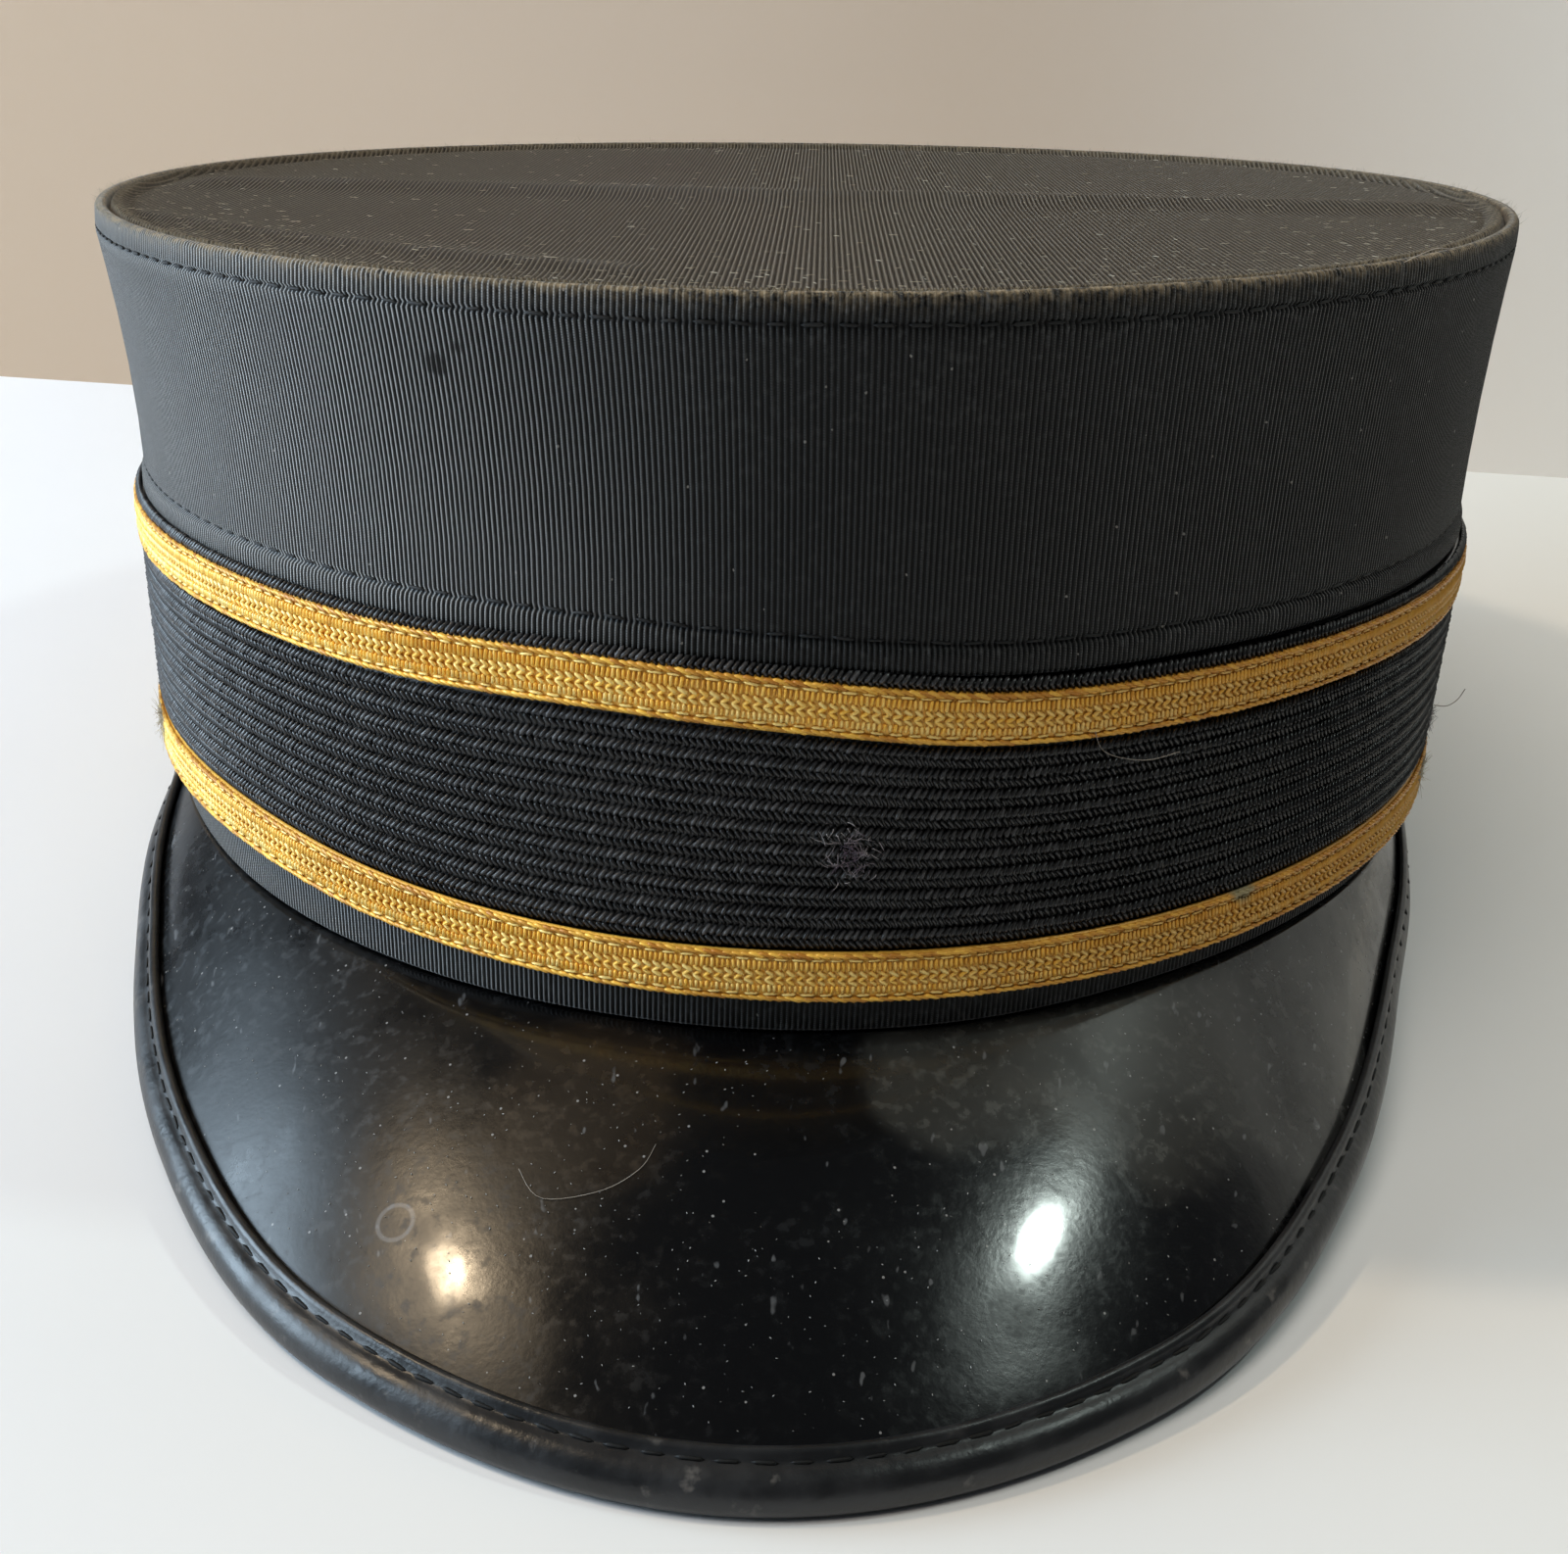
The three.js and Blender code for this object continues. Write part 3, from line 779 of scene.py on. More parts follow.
class Recipe(Nodes):
    """A material under construction."""

    def __init__(self, name: str) -> None:
        self.material = bpy.data.materials.new(name)
        self.material.use_nodes = True
        super().__init__(self.material.node_tree)
        self.tree.nodes.clear()

    def noise(self, where: Socket, scale: float, detail: float = 3.0, rough: float = 0.55) -> Socket:
        """Noise from 0 to 1 about a middle of a half."""
        inputs = {"Vector": where, "Scale": scale, "Detail": detail, "Roughness": rough}
        return self.add("ShaderNodeTexNoise", inputs)

    def between(self, value: Socket, low: float, high: float) -> Socket:
        """Rises smoothly from 0 to 1 as a value goes from low to high."""
        inputs = {0: value, 1: low, 2: high}
        return self.add("ShaderNodeMapRange", inputs, interpolation_type="SMOOTHSTEP")

    def mix(self, share: Socket, first: Socket | Colour, second: Socket | Colour) -> Socket:
        """A colour between two colours."""
        first, second = ((*c, 1.0) if isinstance(c, tuple) else c for c in (first, second))
        return self.add("ShaderNodeMix", {0: share, 6: first, 7: second}, out=2, data_type="RGBA")

    def field(self, name: str) -> Socket:
        """A number that the mesh holds for each point."""
        return self.add("ShaderNodeAttribute", out="Fac", attribute_name=name)

    def place(self) -> Socket:
        """The place on the object, in metres."""
        return self.add("ShaderNodeTexCoord", out="Object")

    def stretched(self, where: Socket, scale: tuple[float, float, float], turn: float = 0.0) -> Socket:
        """A place scaled differently each way, after a turn about Z in degrees."""
        inputs = {"Vector": where, "Scale": scale, "Rotation": (0.0, 0.0, math.radians(turn))}
        return self.add("ShaderNodeMapping", inputs)

    def axis(self, where: Socket, which: int) -> Socket:
        """One coordinate of a place."""
        return self.add("ShaderNodeSeparateXYZ", {0: where}, out=which)

    def over(self, where: Socket, which: int, span: Span) -> Socket:
        """Rises smoothly from 0 to 1 over a span of one coordinate of a place."""
        return self.between(self.axis(where, which), *span)

    def distance(self, where: Socket, point: Point) -> Socket:
        """How far a place lies from a point, in metres."""
        return self.add("ShaderNodeVectorMath", {0: where, 1: point}, out="Value", operation="DISTANCE")

    def patch(
        self, where: Socket, stain: Stain, scale: float, detail: float, edge: tuple[float, float]
    ) -> Socket:
        """How much of a stain shows at a place, from 0 to 1.

        Args:
            where: The place.
            stain: The stain.
            scale: The scale of the noise that makes its outline ragged.
            detail: The detail of that noise.
            edge: The multiples of its radius at which it starts to show, and shows in full.

        Returns:
            The share.
        """
        noise = self.noise(where, scale, detail)
        away = self.math("MULTIPLY_ADD", noise, stain.radius, self.distance(where, stain[:3]))
        return self.between(away, *(stain.radius * reach for reach in edge))

    def flecks(self, where: Socket, scale: float, size: float, strength: float) -> Socket:
        """Small round flecks, scattered at random."""
        away = self.add("ShaderNodeTexVoronoi", {"Vector": where, "Scale": scale}, out="Distance")
        return self.math("MULTIPLY", self.math("LESS_THAN", away, size), strength)

    def bump(self, height: Socket, millimetres: float, under: Socket | None = None) -> Socket:
        """A relief of some millimetres, over another one."""
        inputs = {"Height": height, "Distance": millimetres * MM, "Strength": 1.0}
        if under is not None:
            inputs["Normal"] = under
        return self.add("ShaderNodeBump", inputs)

    def finish(self, **inputs) -> bpy.types.Material:
        """Ends the material with a Principled shader.

        Args:
            **inputs: The shader's inputs, with spaces as underscores.

        Returns:
            The material.
        """
        given = {key.replace("_", " "): value for key, value in inputs.items()}
        return self.end(self.add("ShaderNodeBsdfPrincipled", given))

    def end(self, shader: Socket) -> bpy.types.Material:
        """Joins a shader to the material's output, and gives the material."""
        end = self.tree.nodes.new("ShaderNodeOutputMaterial")
        self.tree.links.new(shader, end.inputs["Surface"])
        return self.material


@dataclass(frozen=True)
class RibbedCloth:
    """Ribbed cloth: rounded ribs with painted shade in the furrows, a painted highlight line on each rib,
    dust, painted window sheen and worn edges.

    Rib pitch and bead are in millimetres along and up the cloth. The furrows take a colour far darker than
    the ribs: painted shade. The thread colour is a painted highlight line along each rib. The window sheen
    setting says how far that line turns paler towards the cap's front left, over the spans left and front,
    where the window lamp's light falls, and how far the ribs there are lightened in clouds, most at the far
    left: painted window sheen. Each scuff is a dark, rubbed patch.
    """

    name: str
    # Colours: furrow is painted shade, thread is a painted highlight line along the ribs, pale is that line's
    # brighter colour where the window light falls, dusty serves both real dust and painted window sheen, and
    # faded sets how strong that painted sheen is.
    furrow_shade: Colour
    rib: Colour
    thread: Colour
    dust_and_sheen: Colour
    worn: Colour
    roughness: float
    sheen: float
    window_sheen: float = 0.0
    lit_line: Colour = (0.62, 0.63, 0.63)
    lint: Colour = (0.40, 0.38, 0.35)
    scuffs: tuple[Stain, ...] = ()
    rib_pitch: float = 0.575
    bead: float = 0.27
    bead_shift: float = 2.4
    line_place: float = 0.58
    left: Span = Span(0.002, -0.066)
    front: Span = Span(0.05, -0.02)
    far_left: Span = Span(-0.055, -0.084)

    def material(self) -> bpy.types.Material:
        """The cloth's material, which reads the fields crest, dust and wear."""
        r = Recipe(self.name)
        place, crest, wear = r.place(), r.field("crest"), r.field("wear")
        line = self.highlight_line(r, place, crest)
        left = r.math("MULTIPLY", r.over(place, 0, self.left), self.window_sheen)
        left = r.math("MULTIPLY", left, r.over(place, 1, self.front))
        # The furrows are much darker than the ribs: painted shade in the furrows.
        colour = r.mix(r.between(crest, 0.25, 0.9), self.furrow_shade, self.rib)
        # Painted highlight: a light line along each rib, paler still towards the front left where the window
        # lamp's light falls.
        colour = r.mix(line, colour, r.mix(left, self.thread, self.lit_line))
        # Painted window sheen: ribs at the front left lightened in clouds, most at the far left; the same
        # colour serves the real dust below.
        colour = r.mix(r.math("MULTIPLY", self.window_sheen_share(r, place, left), crest), colour, self.dust_and_sheen)
        colour = r.mix(self.dust(r, place, crest), colour, self.dust_and_sheen)
        rub = r.between(r.noise(place, 1100.0, 4.0, 0.65), 0.34, 0.68)
        colour = r.mix(r.math("MULTIPLY", wear, rub), colour, self.worn)
        for scuff in self.scuffs:
            share = r.patch(place, scuff, 420.0, 3.0, (1.4, 0.9))
            colour = r.mix(r.math("MULTIPLY", share, 0.8), colour, scuff.colour)
        colour = r.mix(r.flecks(place, 330.0, 0.05, 0.5), colour, self.lint)
        grain = r.bump(r.noise(place, 2600.0, 2.0), 0.03)
        return r.finish(
            Base_Color=colour,
            Roughness=r.math("MULTIPLY_ADD", wear, 0.25, self.roughness),
            Normal=r.bump(r.math("MULTIPLY", line, crest), 0.06, grain),
            Sheen_Weight=self.sheen,
            Sheen_Roughness=0.3,
            Specular_IOR_Level=0.14,
        )

    def highlight_line(self, r: Recipe, place: Socket, crest: Socket) -> Socket:
        """The painted highlight line along each rib, set off the middle of the rib, beaded and a little
        unsteady, from 0 to 1.
        """
        uv = r.add("ShaderNodeUVMap", uv_map=UV)
        ribs = r.math("DIVIDE", r.axis(uv, 0), self.rib_pitch)
        shift = r.math("MULTIPLY", ribs, self.bead_shift)
        beads = r.math("SINE", r.math("MULTIPLY_ADD", r.axis(uv, 1), 2 * math.pi / self.bead, shift))
        stray = r.math("MULTIPLY_ADD", r.noise(place, 1700.0, 2.0), 0.16, r.math("MULTIPLY", beads, 0.035))
        offset = r.math("ADD", stray, -self.line_place)
        across = r.math("ABSOLUTE", r.math("ADD", r.math("FRACT", ribs), offset))
        line = r.math("MULTIPLY", r.between(across, 0.26, 0.07), r.math("MULTIPLY_ADD", beads, 0.22, 0.78))
        return r.math("MULTIPLY", line, r.between(crest, 0.3, 0.75))

    def window_sheen_share(self, r: Recipe, place: Socket, left: Socket) -> Socket:
        """How far the ribs are lightened by painted window sheen: in clouds, and most at the far left."""
        clouds = r.between(r.noise(place, 55.0, 4.0), 0.42, 0.72)
        clouds = r.math("MULTIPLY_ADD", clouds, 0.3, 0.16)
        fade = r.math("MULTIPLY", clouds, r.math("ADD", left, 0.06))
        edge = r.math("MULTIPLY", r.over(place, 0, self.far_left), left)
        return r.math("MULTIPLY_ADD", edge, 0.5, fade)

    @staticmethod
    def dust(r: Recipe, place: Socket, crest: Socket) -> Socket:
        """How much dust shows: it lies in fine grains, and most of it on the ribs."""
        grains = r.between(r.noise(place, 900.0, 2.0), 0.5, 0.72)
        dust = r.math("MULTIPLY", r.field("dust"), r.math("MULTIPLY_ADD", grains, 0.8, 0.1))
        return r.math("MULTIPLY", dust, r.math("MULTIPLY_ADD", r.between(crest, 0.2, 0.8), 0.7, 0.3))


@dataclass(frozen=True)
class ThreadFinish:
    """Braided or sewn thread, whose colour goes from dark to light with each thread's tone.

    Right shade says how far the thread is painted darker towards the cap's right, over the span right, on the
    side away from the window lamp: painted shade. Each stain is a soiled patch.
    """

    name: str
    dark: Colour
    middle: Colour
    light: Colour
    roughness: float
    metal: float = 0.0
    right_shade: float = 0.0
    stains: tuple[Stain, ...] = ()
    right: Span = Span(-0.02, 0.07)

    def material(self) -> bpy.types.Material:
        """The thread's material, which reads the field tone."""
        r = Recipe(self.name)
        place = r.place()
        fibre = r.noise(place, 1500.0, 2.0)
        tone = r.math("ADD", r.field("tone"), r.math("MULTIPLY_ADD", fibre, 0.3, -0.15))
        colour = r.mix(r.between(tone, 0.0, 0.5), self.dark, self.middle)
        colour = r.mix(r.between(tone, 0.5, 1.0), colour, self.light)
        soil = r.between(r.noise(place, 70.0, 4.0), 0.45, 0.75)
        colour = r.mix(r.math("MULTIPLY", soil, 0.25), colour, self.dark)
        # Painted shade: darker towards the cap's right, away from the window lamp.
        if self.right_shade:
            side = r.math("MULTIPLY", r.over(place, 0, self.right), self.right_shade)
            colour = r.mix(side, colour, self.dark)
        for stain in self.stains:
            colour = r.mix(r.patch(place, stain, 260.0, 3.0, (1.6, 1.0)), colour, stain.colour)
        return r.finish(
            Base_Color=colour,
            Roughness=self.roughness,
            Normal=r.bump(fibre, 0.05),
            Metallic=self.metal,
            Specular_IOR_Level=0.5,
        )


class Scratches(NamedTuple):
    """Fine scratches that run one way: their direction in degrees, and how fine and how pale they are."""

    turn: float
    scale: float
    strength: float


@dataclass(frozen=True)
class PatentLeather:
    """Glossy black lacquered leather, dulled by haze, fine scratches, a ring mark and settled dust.

    The haze is thicker towards the left, over the span hazy, and the clear coat is lost at the far left,
    outside the span coated. Where haze and fine dirt lie together, the colour turns a little blue-grey:
    partly a real milky haze, partly the window's reflection painted in. Each painted reflection is a wide,
    dull patch: pale grey ones on the right where the wall reflects, and a warm brown one round the warm
    lamp's highlight.
    """

    name: str = "patent_leather"
    lacquer: Colour = (0.0022, 0.0022, 0.0024)
    # A blue-grey that is partly a real milky haze and partly painted reflection of the window.
    bloom_and_reflection: Colour = (0.20, 0.22, 0.25)
    scratched: Colour = (0.45, 0.47, 0.50)
    ringed: Colour = (0.42, 0.44, 0.48)
    dust: Colour = (0.5, 0.5, 0.5)
    hazy: Span = Span(0.0, -0.045)
    coated: Span = Span(-0.054, -0.040)
    ring_place: Point = (-0.0362, -0.1038, 0.0112)
    ring_radius: float = 0.0019
    ring_edge: tuple[float, float] = (0.00035, 0.0001)
    scratches: tuple[Scratches, ...] = (Scratches(38.0, 620.0, 0.16), Scratches(-52.0, 540.0, 0.13))
    # Painted reflections: three pale grey patches on the right where the wall reflects, and a warm brown one
    # round the warm lamp's highlight.
    painted_reflections: tuple[Stain, ...] = (
        Stain(0.021, -0.088, 0.021, 0.013, (0.046, 0.046, 0.041)),
        Stain(0.038, -0.082, 0.020, 0.018, (0.046, 0.046, 0.041)),
        Stain(0.060, -0.072, 0.015, 0.017, (0.046, 0.046, 0.044)),
        Stain(-0.018, -0.095, 0.020, 0.012, (0.022, 0.015, 0.009)),
    )

    def material(self) -> bpy.types.Material:
        """The lacquer's material."""
        r = Recipe(self.name)
        place = r.place()
        clouds = r.noise(place, 42.0, 7.0, 0.66)
        haze = r.math("MULTIPLY_ADD", r.over(place, 0, self.hazy), 0.18, clouds)
        haze = r.between(haze, 0.44, 0.70)
        mist = r.between(r.noise(place, 700.0, 3.0), 0.5, 0.72)
        rough = r.math("MULTIPLY_ADD", haze, 0.14, 0.18)
        rough = r.math("MULTIPLY_ADD", mist, 0.08, rough)
        gloss = r.math("MULTIPLY_ADD", haze, -0.40, 0.46)
        gloss = r.math("MULTIPLY", gloss, r.over(place, 0, self.coated))
        waves = r.bump(r.noise(place, 60.0, 3.0), 0.05)
        return r.finish(
            Base_Color=self.marked(r, place, haze, mist),
            Roughness=rough,
            Normal=r.bump(r.noise(place, 1300.0, 3.0), 0.012, waves),
            Specular_IOR_Level=0.42,
            Coat_Weight=gloss,
            Coat_Roughness=0.07,
        )

    def marked(self, r: Recipe, place: Socket, haze: Socket, mist: Socket) -> Socket:
        """The lacquer's colour with its blue-grey haze, partly painted window reflection, the painted
        reflection patches, scratches, the ring mark and dust over it.

        Args:
            r: The material.
            place: The place on the peak.
            haze: How hazy the lacquer is there.
            mist: How much fine dirt lies there.

        Returns:
            The colour.
        """
        # A faint blue-grey where the haze lies thickest, towards the left: partly real haze, partly painted
        # reflection of the window.
        bloom_and_reflection = r.math("MULTIPLY", r.math("MULTIPLY", haze, mist), 0.05)
        colour = r.mix(bloom_and_reflection, self.lacquer, self.bloom_and_reflection)
        # Wide dull patches: painted reflections of the wall on the right, and of the warm lamp's glow.
        for reflection_patch in self.painted_reflections:
            share = r.patch(place, reflection_patch, 90.0, 4.0, (1.55, 1.15))
            share = r.math("MULTIPLY", share, r.math("MULTIPLY_ADD", mist, 0.5, 0.5))
            colour = r.mix(share, colour, reflection_patch.colour)
        for marks in self.scratches:
            lines = r.noise(r.stretched(place, (1.0, 0.16, 1.0), marks.turn), marks.scale, 2.0)
            share = r.math("MULTIPLY", r.between(lines, 0.70, 0.76), marks.strength)
            colour = r.mix(share, colour, self.scratched)
        away = r.math("SUBTRACT", r.distance(place, self.ring_place), self.ring_radius)
        ring = r.between(r.math("ABSOLUTE", away), *self.ring_edge)
        ring = r.math("MULTIPLY", ring, r.math("MULTIPLY_ADD", mist, 0.15, 0.15))
        colour = r.mix(ring, colour, self.ringed)
        return r.mix(r.flecks(place, 420.0, 0.06, 0.4), colour, self.dust)


@dataclass(frozen=True)
class BindingLeather:
    """Semi-matt black leather with a fine grain, rubbed along its outer roll."""

    name: str = "binding_leather"
    dark: Colour = (0.009, 0.0095, 0.0105)
    light: Colour = (0.032, 0.033, 0.036)
    rubbed: Colour = (0.16, 0.15, 0.14)

    def material(self) -> bpy.types.Material:
        """The binding's material, which reads the field rub."""
        r = Recipe(self.name)
        place = r.place()
        mottle = r.between(r.noise(place, 130.0, 4.0), 0.4, 0.7)
        colour = r.mix(r.math("MULTIPLY", mottle, 0.5), self.dark, self.light)
        scuff = r.between(r.noise(place, 380.0, 4.0), 0.6, 0.74)
        scuff = r.math("MULTIPLY", r.math("MULTIPLY", scuff, r.field("rub")), 0.5)
        dents = r.bump(r.noise(place, 300.0, 2.0), 0.10)
        return r.finish(
            Base_Color=r.mix(scuff, colour, self.rubbed),
            Roughness=r.math("MULTIPLY_ADD", mottle, 0.14, 0.30),
            Normal=r.bump(r.noise(place, 1100.0, 4.0, 0.65), 0.05, dents),
            Specular_IOR_Level=0.5,
        )


@dataclass(frozen=True)
class FibreFinish:
    """Loose fibres, lint and hairs, whose colour varies from one to the next."""

    name: str
    first: Colour
    second: Colour

    def material(self) -> bpy.types.Material:
        """The fibres' material."""
        r = Recipe(self.name)
        share = r.between(r.noise(r.place(), 240.0, 2.0), 0.35, 0.65)
        return r.finish(
            Base_Color=r.mix(share, self.first, self.second), Roughness=0.6, Specular_IOR_Level=0.4
        )


FINISHES = (
    RibbedCloth(
        "ribbed_cloth",
        # Furrow is painted shade and thread a painted highlight line; dusty and faded add painted window
        # sheen at the front left, besides the real dust.
        furrow_shade=(0.0006, 0.0006, 0.0007),
        rib=(0.0042, 0.0044, 0.0046),
        thread=(0.030, 0.031, 0.031),
        dust_and_sheen=(0.125, 0.128, 0.128),
        worn=(0.30, 0.24, 0.16),
        roughness=0.5,
        sheen=0.25,
        window_sheen=0.9,
        scuffs=(
            Stain(-0.0337, -0.0808, 0.0920, 0.0019, (0.008, 0.008, 0.008)),
            Stain(-0.0310, -0.0817, 0.0942, 0.0013, (0.008, 0.008, 0.008)),
        ),
    ),
    RibbedCloth(
        "top_cloth",
        # Furrow is painted shade, and thread a painted highlight line along the ribs.
        furrow_shade=(0.0025, 0.0018, 0.0013),
        rib=(0.013, 0.0098, 0.0068),
        thread=(0.13, 0.107, 0.077),
        dust_and_sheen=(0.15, 0.13, 0.10),
        worn=(0.17, 0.14, 0.095),
        roughness=0.65,
        sheen=0.14,
    ),
    ThreadFinish(
        "mohair",
        dark=(0.001, 0.001, 0.001),
        middle=(0.030, 0.030, 0.031),
        light=(0.13, 0.13, 0.135),
        roughness=0.28,
        # Painted shade towards the cap's right.
        right_shade=0.7,
    ),
    ThreadFinish(
        "gold_braid",
        dark=(0.46, 0.185, 0.024),
        middle=(1.0, 0.60, 0.095),
        light=(1.0, 0.78, 0.28),
        roughness=0.40,
        metal=0.15,
        # Painted shade towards the cap's right.
        right_shade=0.7,
        stains=(Stain(0.0505, -0.0695, 0.0352, 0.0026, (0.30, 0.25, 0.13)),),
    ),
    ThreadFinish(
        "waxed_thread",
        dark=(0.002, 0.002, 0.002),
        middle=(0.008, 0.008, 0.008),
        light=(0.03, 0.03, 0.03),
        roughness=0.7,
    ),
    PatentLeather(),
    BindingLeather(),
    FibreFinish("lint", (0.55, 0.50, 0.40), (0.30, 0.27, 0.20)),
    FibreFinish("frayed", (0.09, 0.06, 0.085), (0.42, 0.39, 0.39)),
    FibreFinish("hair", (0.42, 0.38, 0.33), (0.26, 0.23, 0.20)),
    FibreFinish("edge_fuzz", (0.42, 0.36, 0.25), (0.16, 0.15, 0.12)),
    FibreFinish("dust", (0.45, 0.45, 0.45), (0.22, 0.22, 0.21)),
)


class Kit:
    """What the sub-assemblies share: the form, the trees, the thread and the finishes."""

    def __init__(self) -> None:
        self.cap = CapForm()
        self.peak = PeakForm(self.cap)
        self.growth = Growth()
        self.thread = spindle("thread_shape", 0.3)
        self.materials = {finish.name: finish.material() for finish in FINISHES}
        self.seed = 0
        self.triangles = 0

    def next_seed(self) -> int:
        """A new seed for each row, the same on each run."""
        self.seed += 1
        return self.seed

    def grow(
        self,
        name: str,
        tree: bpy.types.NodeTree,
        carrier: bpy.types.Mesh,
        finish: str,
        sizes: dict[str, float],
    ) -> Piece:
        """Grows threads or specks on a mesh.

        Args:
            name: The new piece's name.
            tree: One of the trees.
            carrier: The path or the cloth that it grows on.
            sizes: A value for each of the tree's sizes, in metres and radians.

        Returns:
            The piece.
        """
        shared = {"Thread": self.thread, "Seed": self.next_seed(), "Material": self.materials[finish]}
        return self.growth.grow(name, tree, carrier, shared | sizes)

    def dress(self, piece: Piece, finish: str, slot: str, *nodes: str) -> Piece:
        """Gives a piece its material and its body, hides the nodes that it stands for, and counts its
        triangles.

        Args:
            piece: The piece.
            slot: Not used.
            *nodes: The CAD nodes that it replaces.

        Returns:
            The piece.
        """
        piece.data.materials.clear()
        piece.data.materials.append(self.materials[finish])
        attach(piece, "root")
        if nodes:
            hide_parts(*nodes)
        triangles = sum(len(face.vertices) - 2 for face in piece.data.polygons)
        self.triangles += triangles
        log.info("%s: %d triangles", piece.name, triangles)
        return piece

    def round_trim(self, inset: float, shares: Array) -> Array:
        """Angles at some shares of the way round the trim, half way up it."""
        return even_angles(lambda a: self.cap.trim(inset, a, self.cap.trim_middle), shares)

    def round_crown(self, shares: Array) -> Array:
        """Angles at some shares of the way round the crown wall, half way up it."""
        return even_angles(lambda a: self.cap.crown(0.5, 0.0, a), shares)

    def ring_path(self, inset: float, height: Array, angle: Array, tilt: float) -> tuple[Array, Array]:
        """A closed path round the trim, and the way off it, tilted up by some degrees.

        Args:
            inset: How far inside the trim oval.
            height: Heights above the rim's plane.
            angle: Angles round the cap.
            tilt: How far the way off the cloth points up, in degrees.

        Returns:
            Points in metres, and unit vectors.
        """
        path = self.cap.place(self.cap.trim(inset, angle, height))
        return path, off_ring(path, tilt)


CAP_UP = np.array([0.0, 0.12, 0.99])  # the way up of the resting cap


def off_ring(path: Array, tilt: float) -> Array:
    """Unit vectors out from a closed ring, tilted up by some degrees."""
    along = np.roll(path, -1, 0) - np.roll(path, 1, 0)
    return unit(unit(np.cross(along, CAP_UP)) + CAP_UP * math.tan(math.radians(tilt)))


def even_shares(count: int) -> Array:
    """Even shares of the way round a closed curve, from 0 to just short of 1."""
    return np.arange(count) / count


def even_angles(curve: Callable[[Array], Array], shares: Array) -> Array:
    """Angles at some shares of a closed curve's length, from the back round over the cap's left side."""
    fine = np.linspace(0.5 * math.pi, 2.5 * math.pi, 4001)
    run = np.concatenate([[0], np.cumsum(np.linalg.norm(np.diff(curve(fine), axis=0), axis=-1))])
    return np.interp(shares * run[-1], run, fine)


# ---------------------------------------------------------------- sub-assemblies


class Ribs(NamedTuple):
    """The ribs of ribbed cloth: where each column of points lies in its rib, and how high it stands."""

    count: int
    places: tuple[float, ...] = (0.0, 0.32, 0.68)
    heights: tuple[float, ...] = (0.0, 1.0, 1.0)

    def shares(self) -> Array:
        """How far along the cloth each column lies, from 0 to 1."""
        return (np.arange(self.count)[:, None] + np.array(self.places)).ravel() / self.count

    def crests(self) -> Array:
        """How high each column stands, from 0 to 1."""
        return np.tile(self.heights, self.count)


class WallRow(NamedTuple):
    """One row of points of the crown wall.

    On the top, at is the height above the top's plane; otherwise it is the share of the wall's height.
    """

    on_top: bool
    at: float
    inset: float
    rib: float = 0.0
    dust: float = 0.0
    wear: float = 0.0


WALL_ROWS = (
    WallRow(True, -0.5, 1.3, 0.0, 0.3, 0.9),
    WallRow(True, -2.3, 1.3),
    WallRow(True, -2.3, 2.0),
    WallRow(False, 0.5, 2.0),
    WallRow(False, 0.0, 2.0),
    WallRow(False, 0.0, -0.1, 0.6, 0.1),
    WallRow(False, 0.012, -0.3, 1.3, 0.1),
    WallRow(False, 0.055, -0.3, 1.3, 0.25),
    WallRow(False, 0.07, -0.2, 0.8, 0.3),
    WallRow(False, 0.08, 0.28, 0.4, 0.0),
    WallRow(False, 0.1, 0.0, 1.0, 0.15),
    WallRow(False, 0.25, 0.0, 1.0, 0.1),
    WallRow(False, 0.44, 0.0, 1.0, 0.1),
    WallRow(False, 0.63, 0.0, 1.0, 0.14),
    WallRow(False, 0.79, 0.0, 1.0, 0.18),
    WallRow(False, 0.87, 0.0, 1.0, 0.22),
    WallRow(False, 0.91, 0.0, 1.0, 0.3),
    WallRow(False, 0.922, 0.34, 0.4, 0.0),
    WallRow(False, 0.934, 0.0, 1.0, 0.35),
    WallRow(True, -1.2, 0.0, 1.0, 0.5, 0.1),
    WallRow(True, -0.5, 0.02, 0.9, 0.5, 0.4),
    WallRow(True, -0.12, 0.2, 0.6, 0.5, 0.9),
    WallRow(True, 0.04, 0.6, 0.3, 0.4, 1.0),
    WallRow(True, -0.08, 1.1, 0.2, 0.4, 1.0),
)

TIP_UNDER_ROWS = [-1, -6, -17, -28, -39, -50, -55, -56]  # the upper rows that the underside repeats
FOLDS = (
    Fold(-86, 86, 5, -0.11, -0.0022, 1.0, 7),
    Fold(-82, -12, -97, -0.35, 0.0042, 0.6, 4),
)


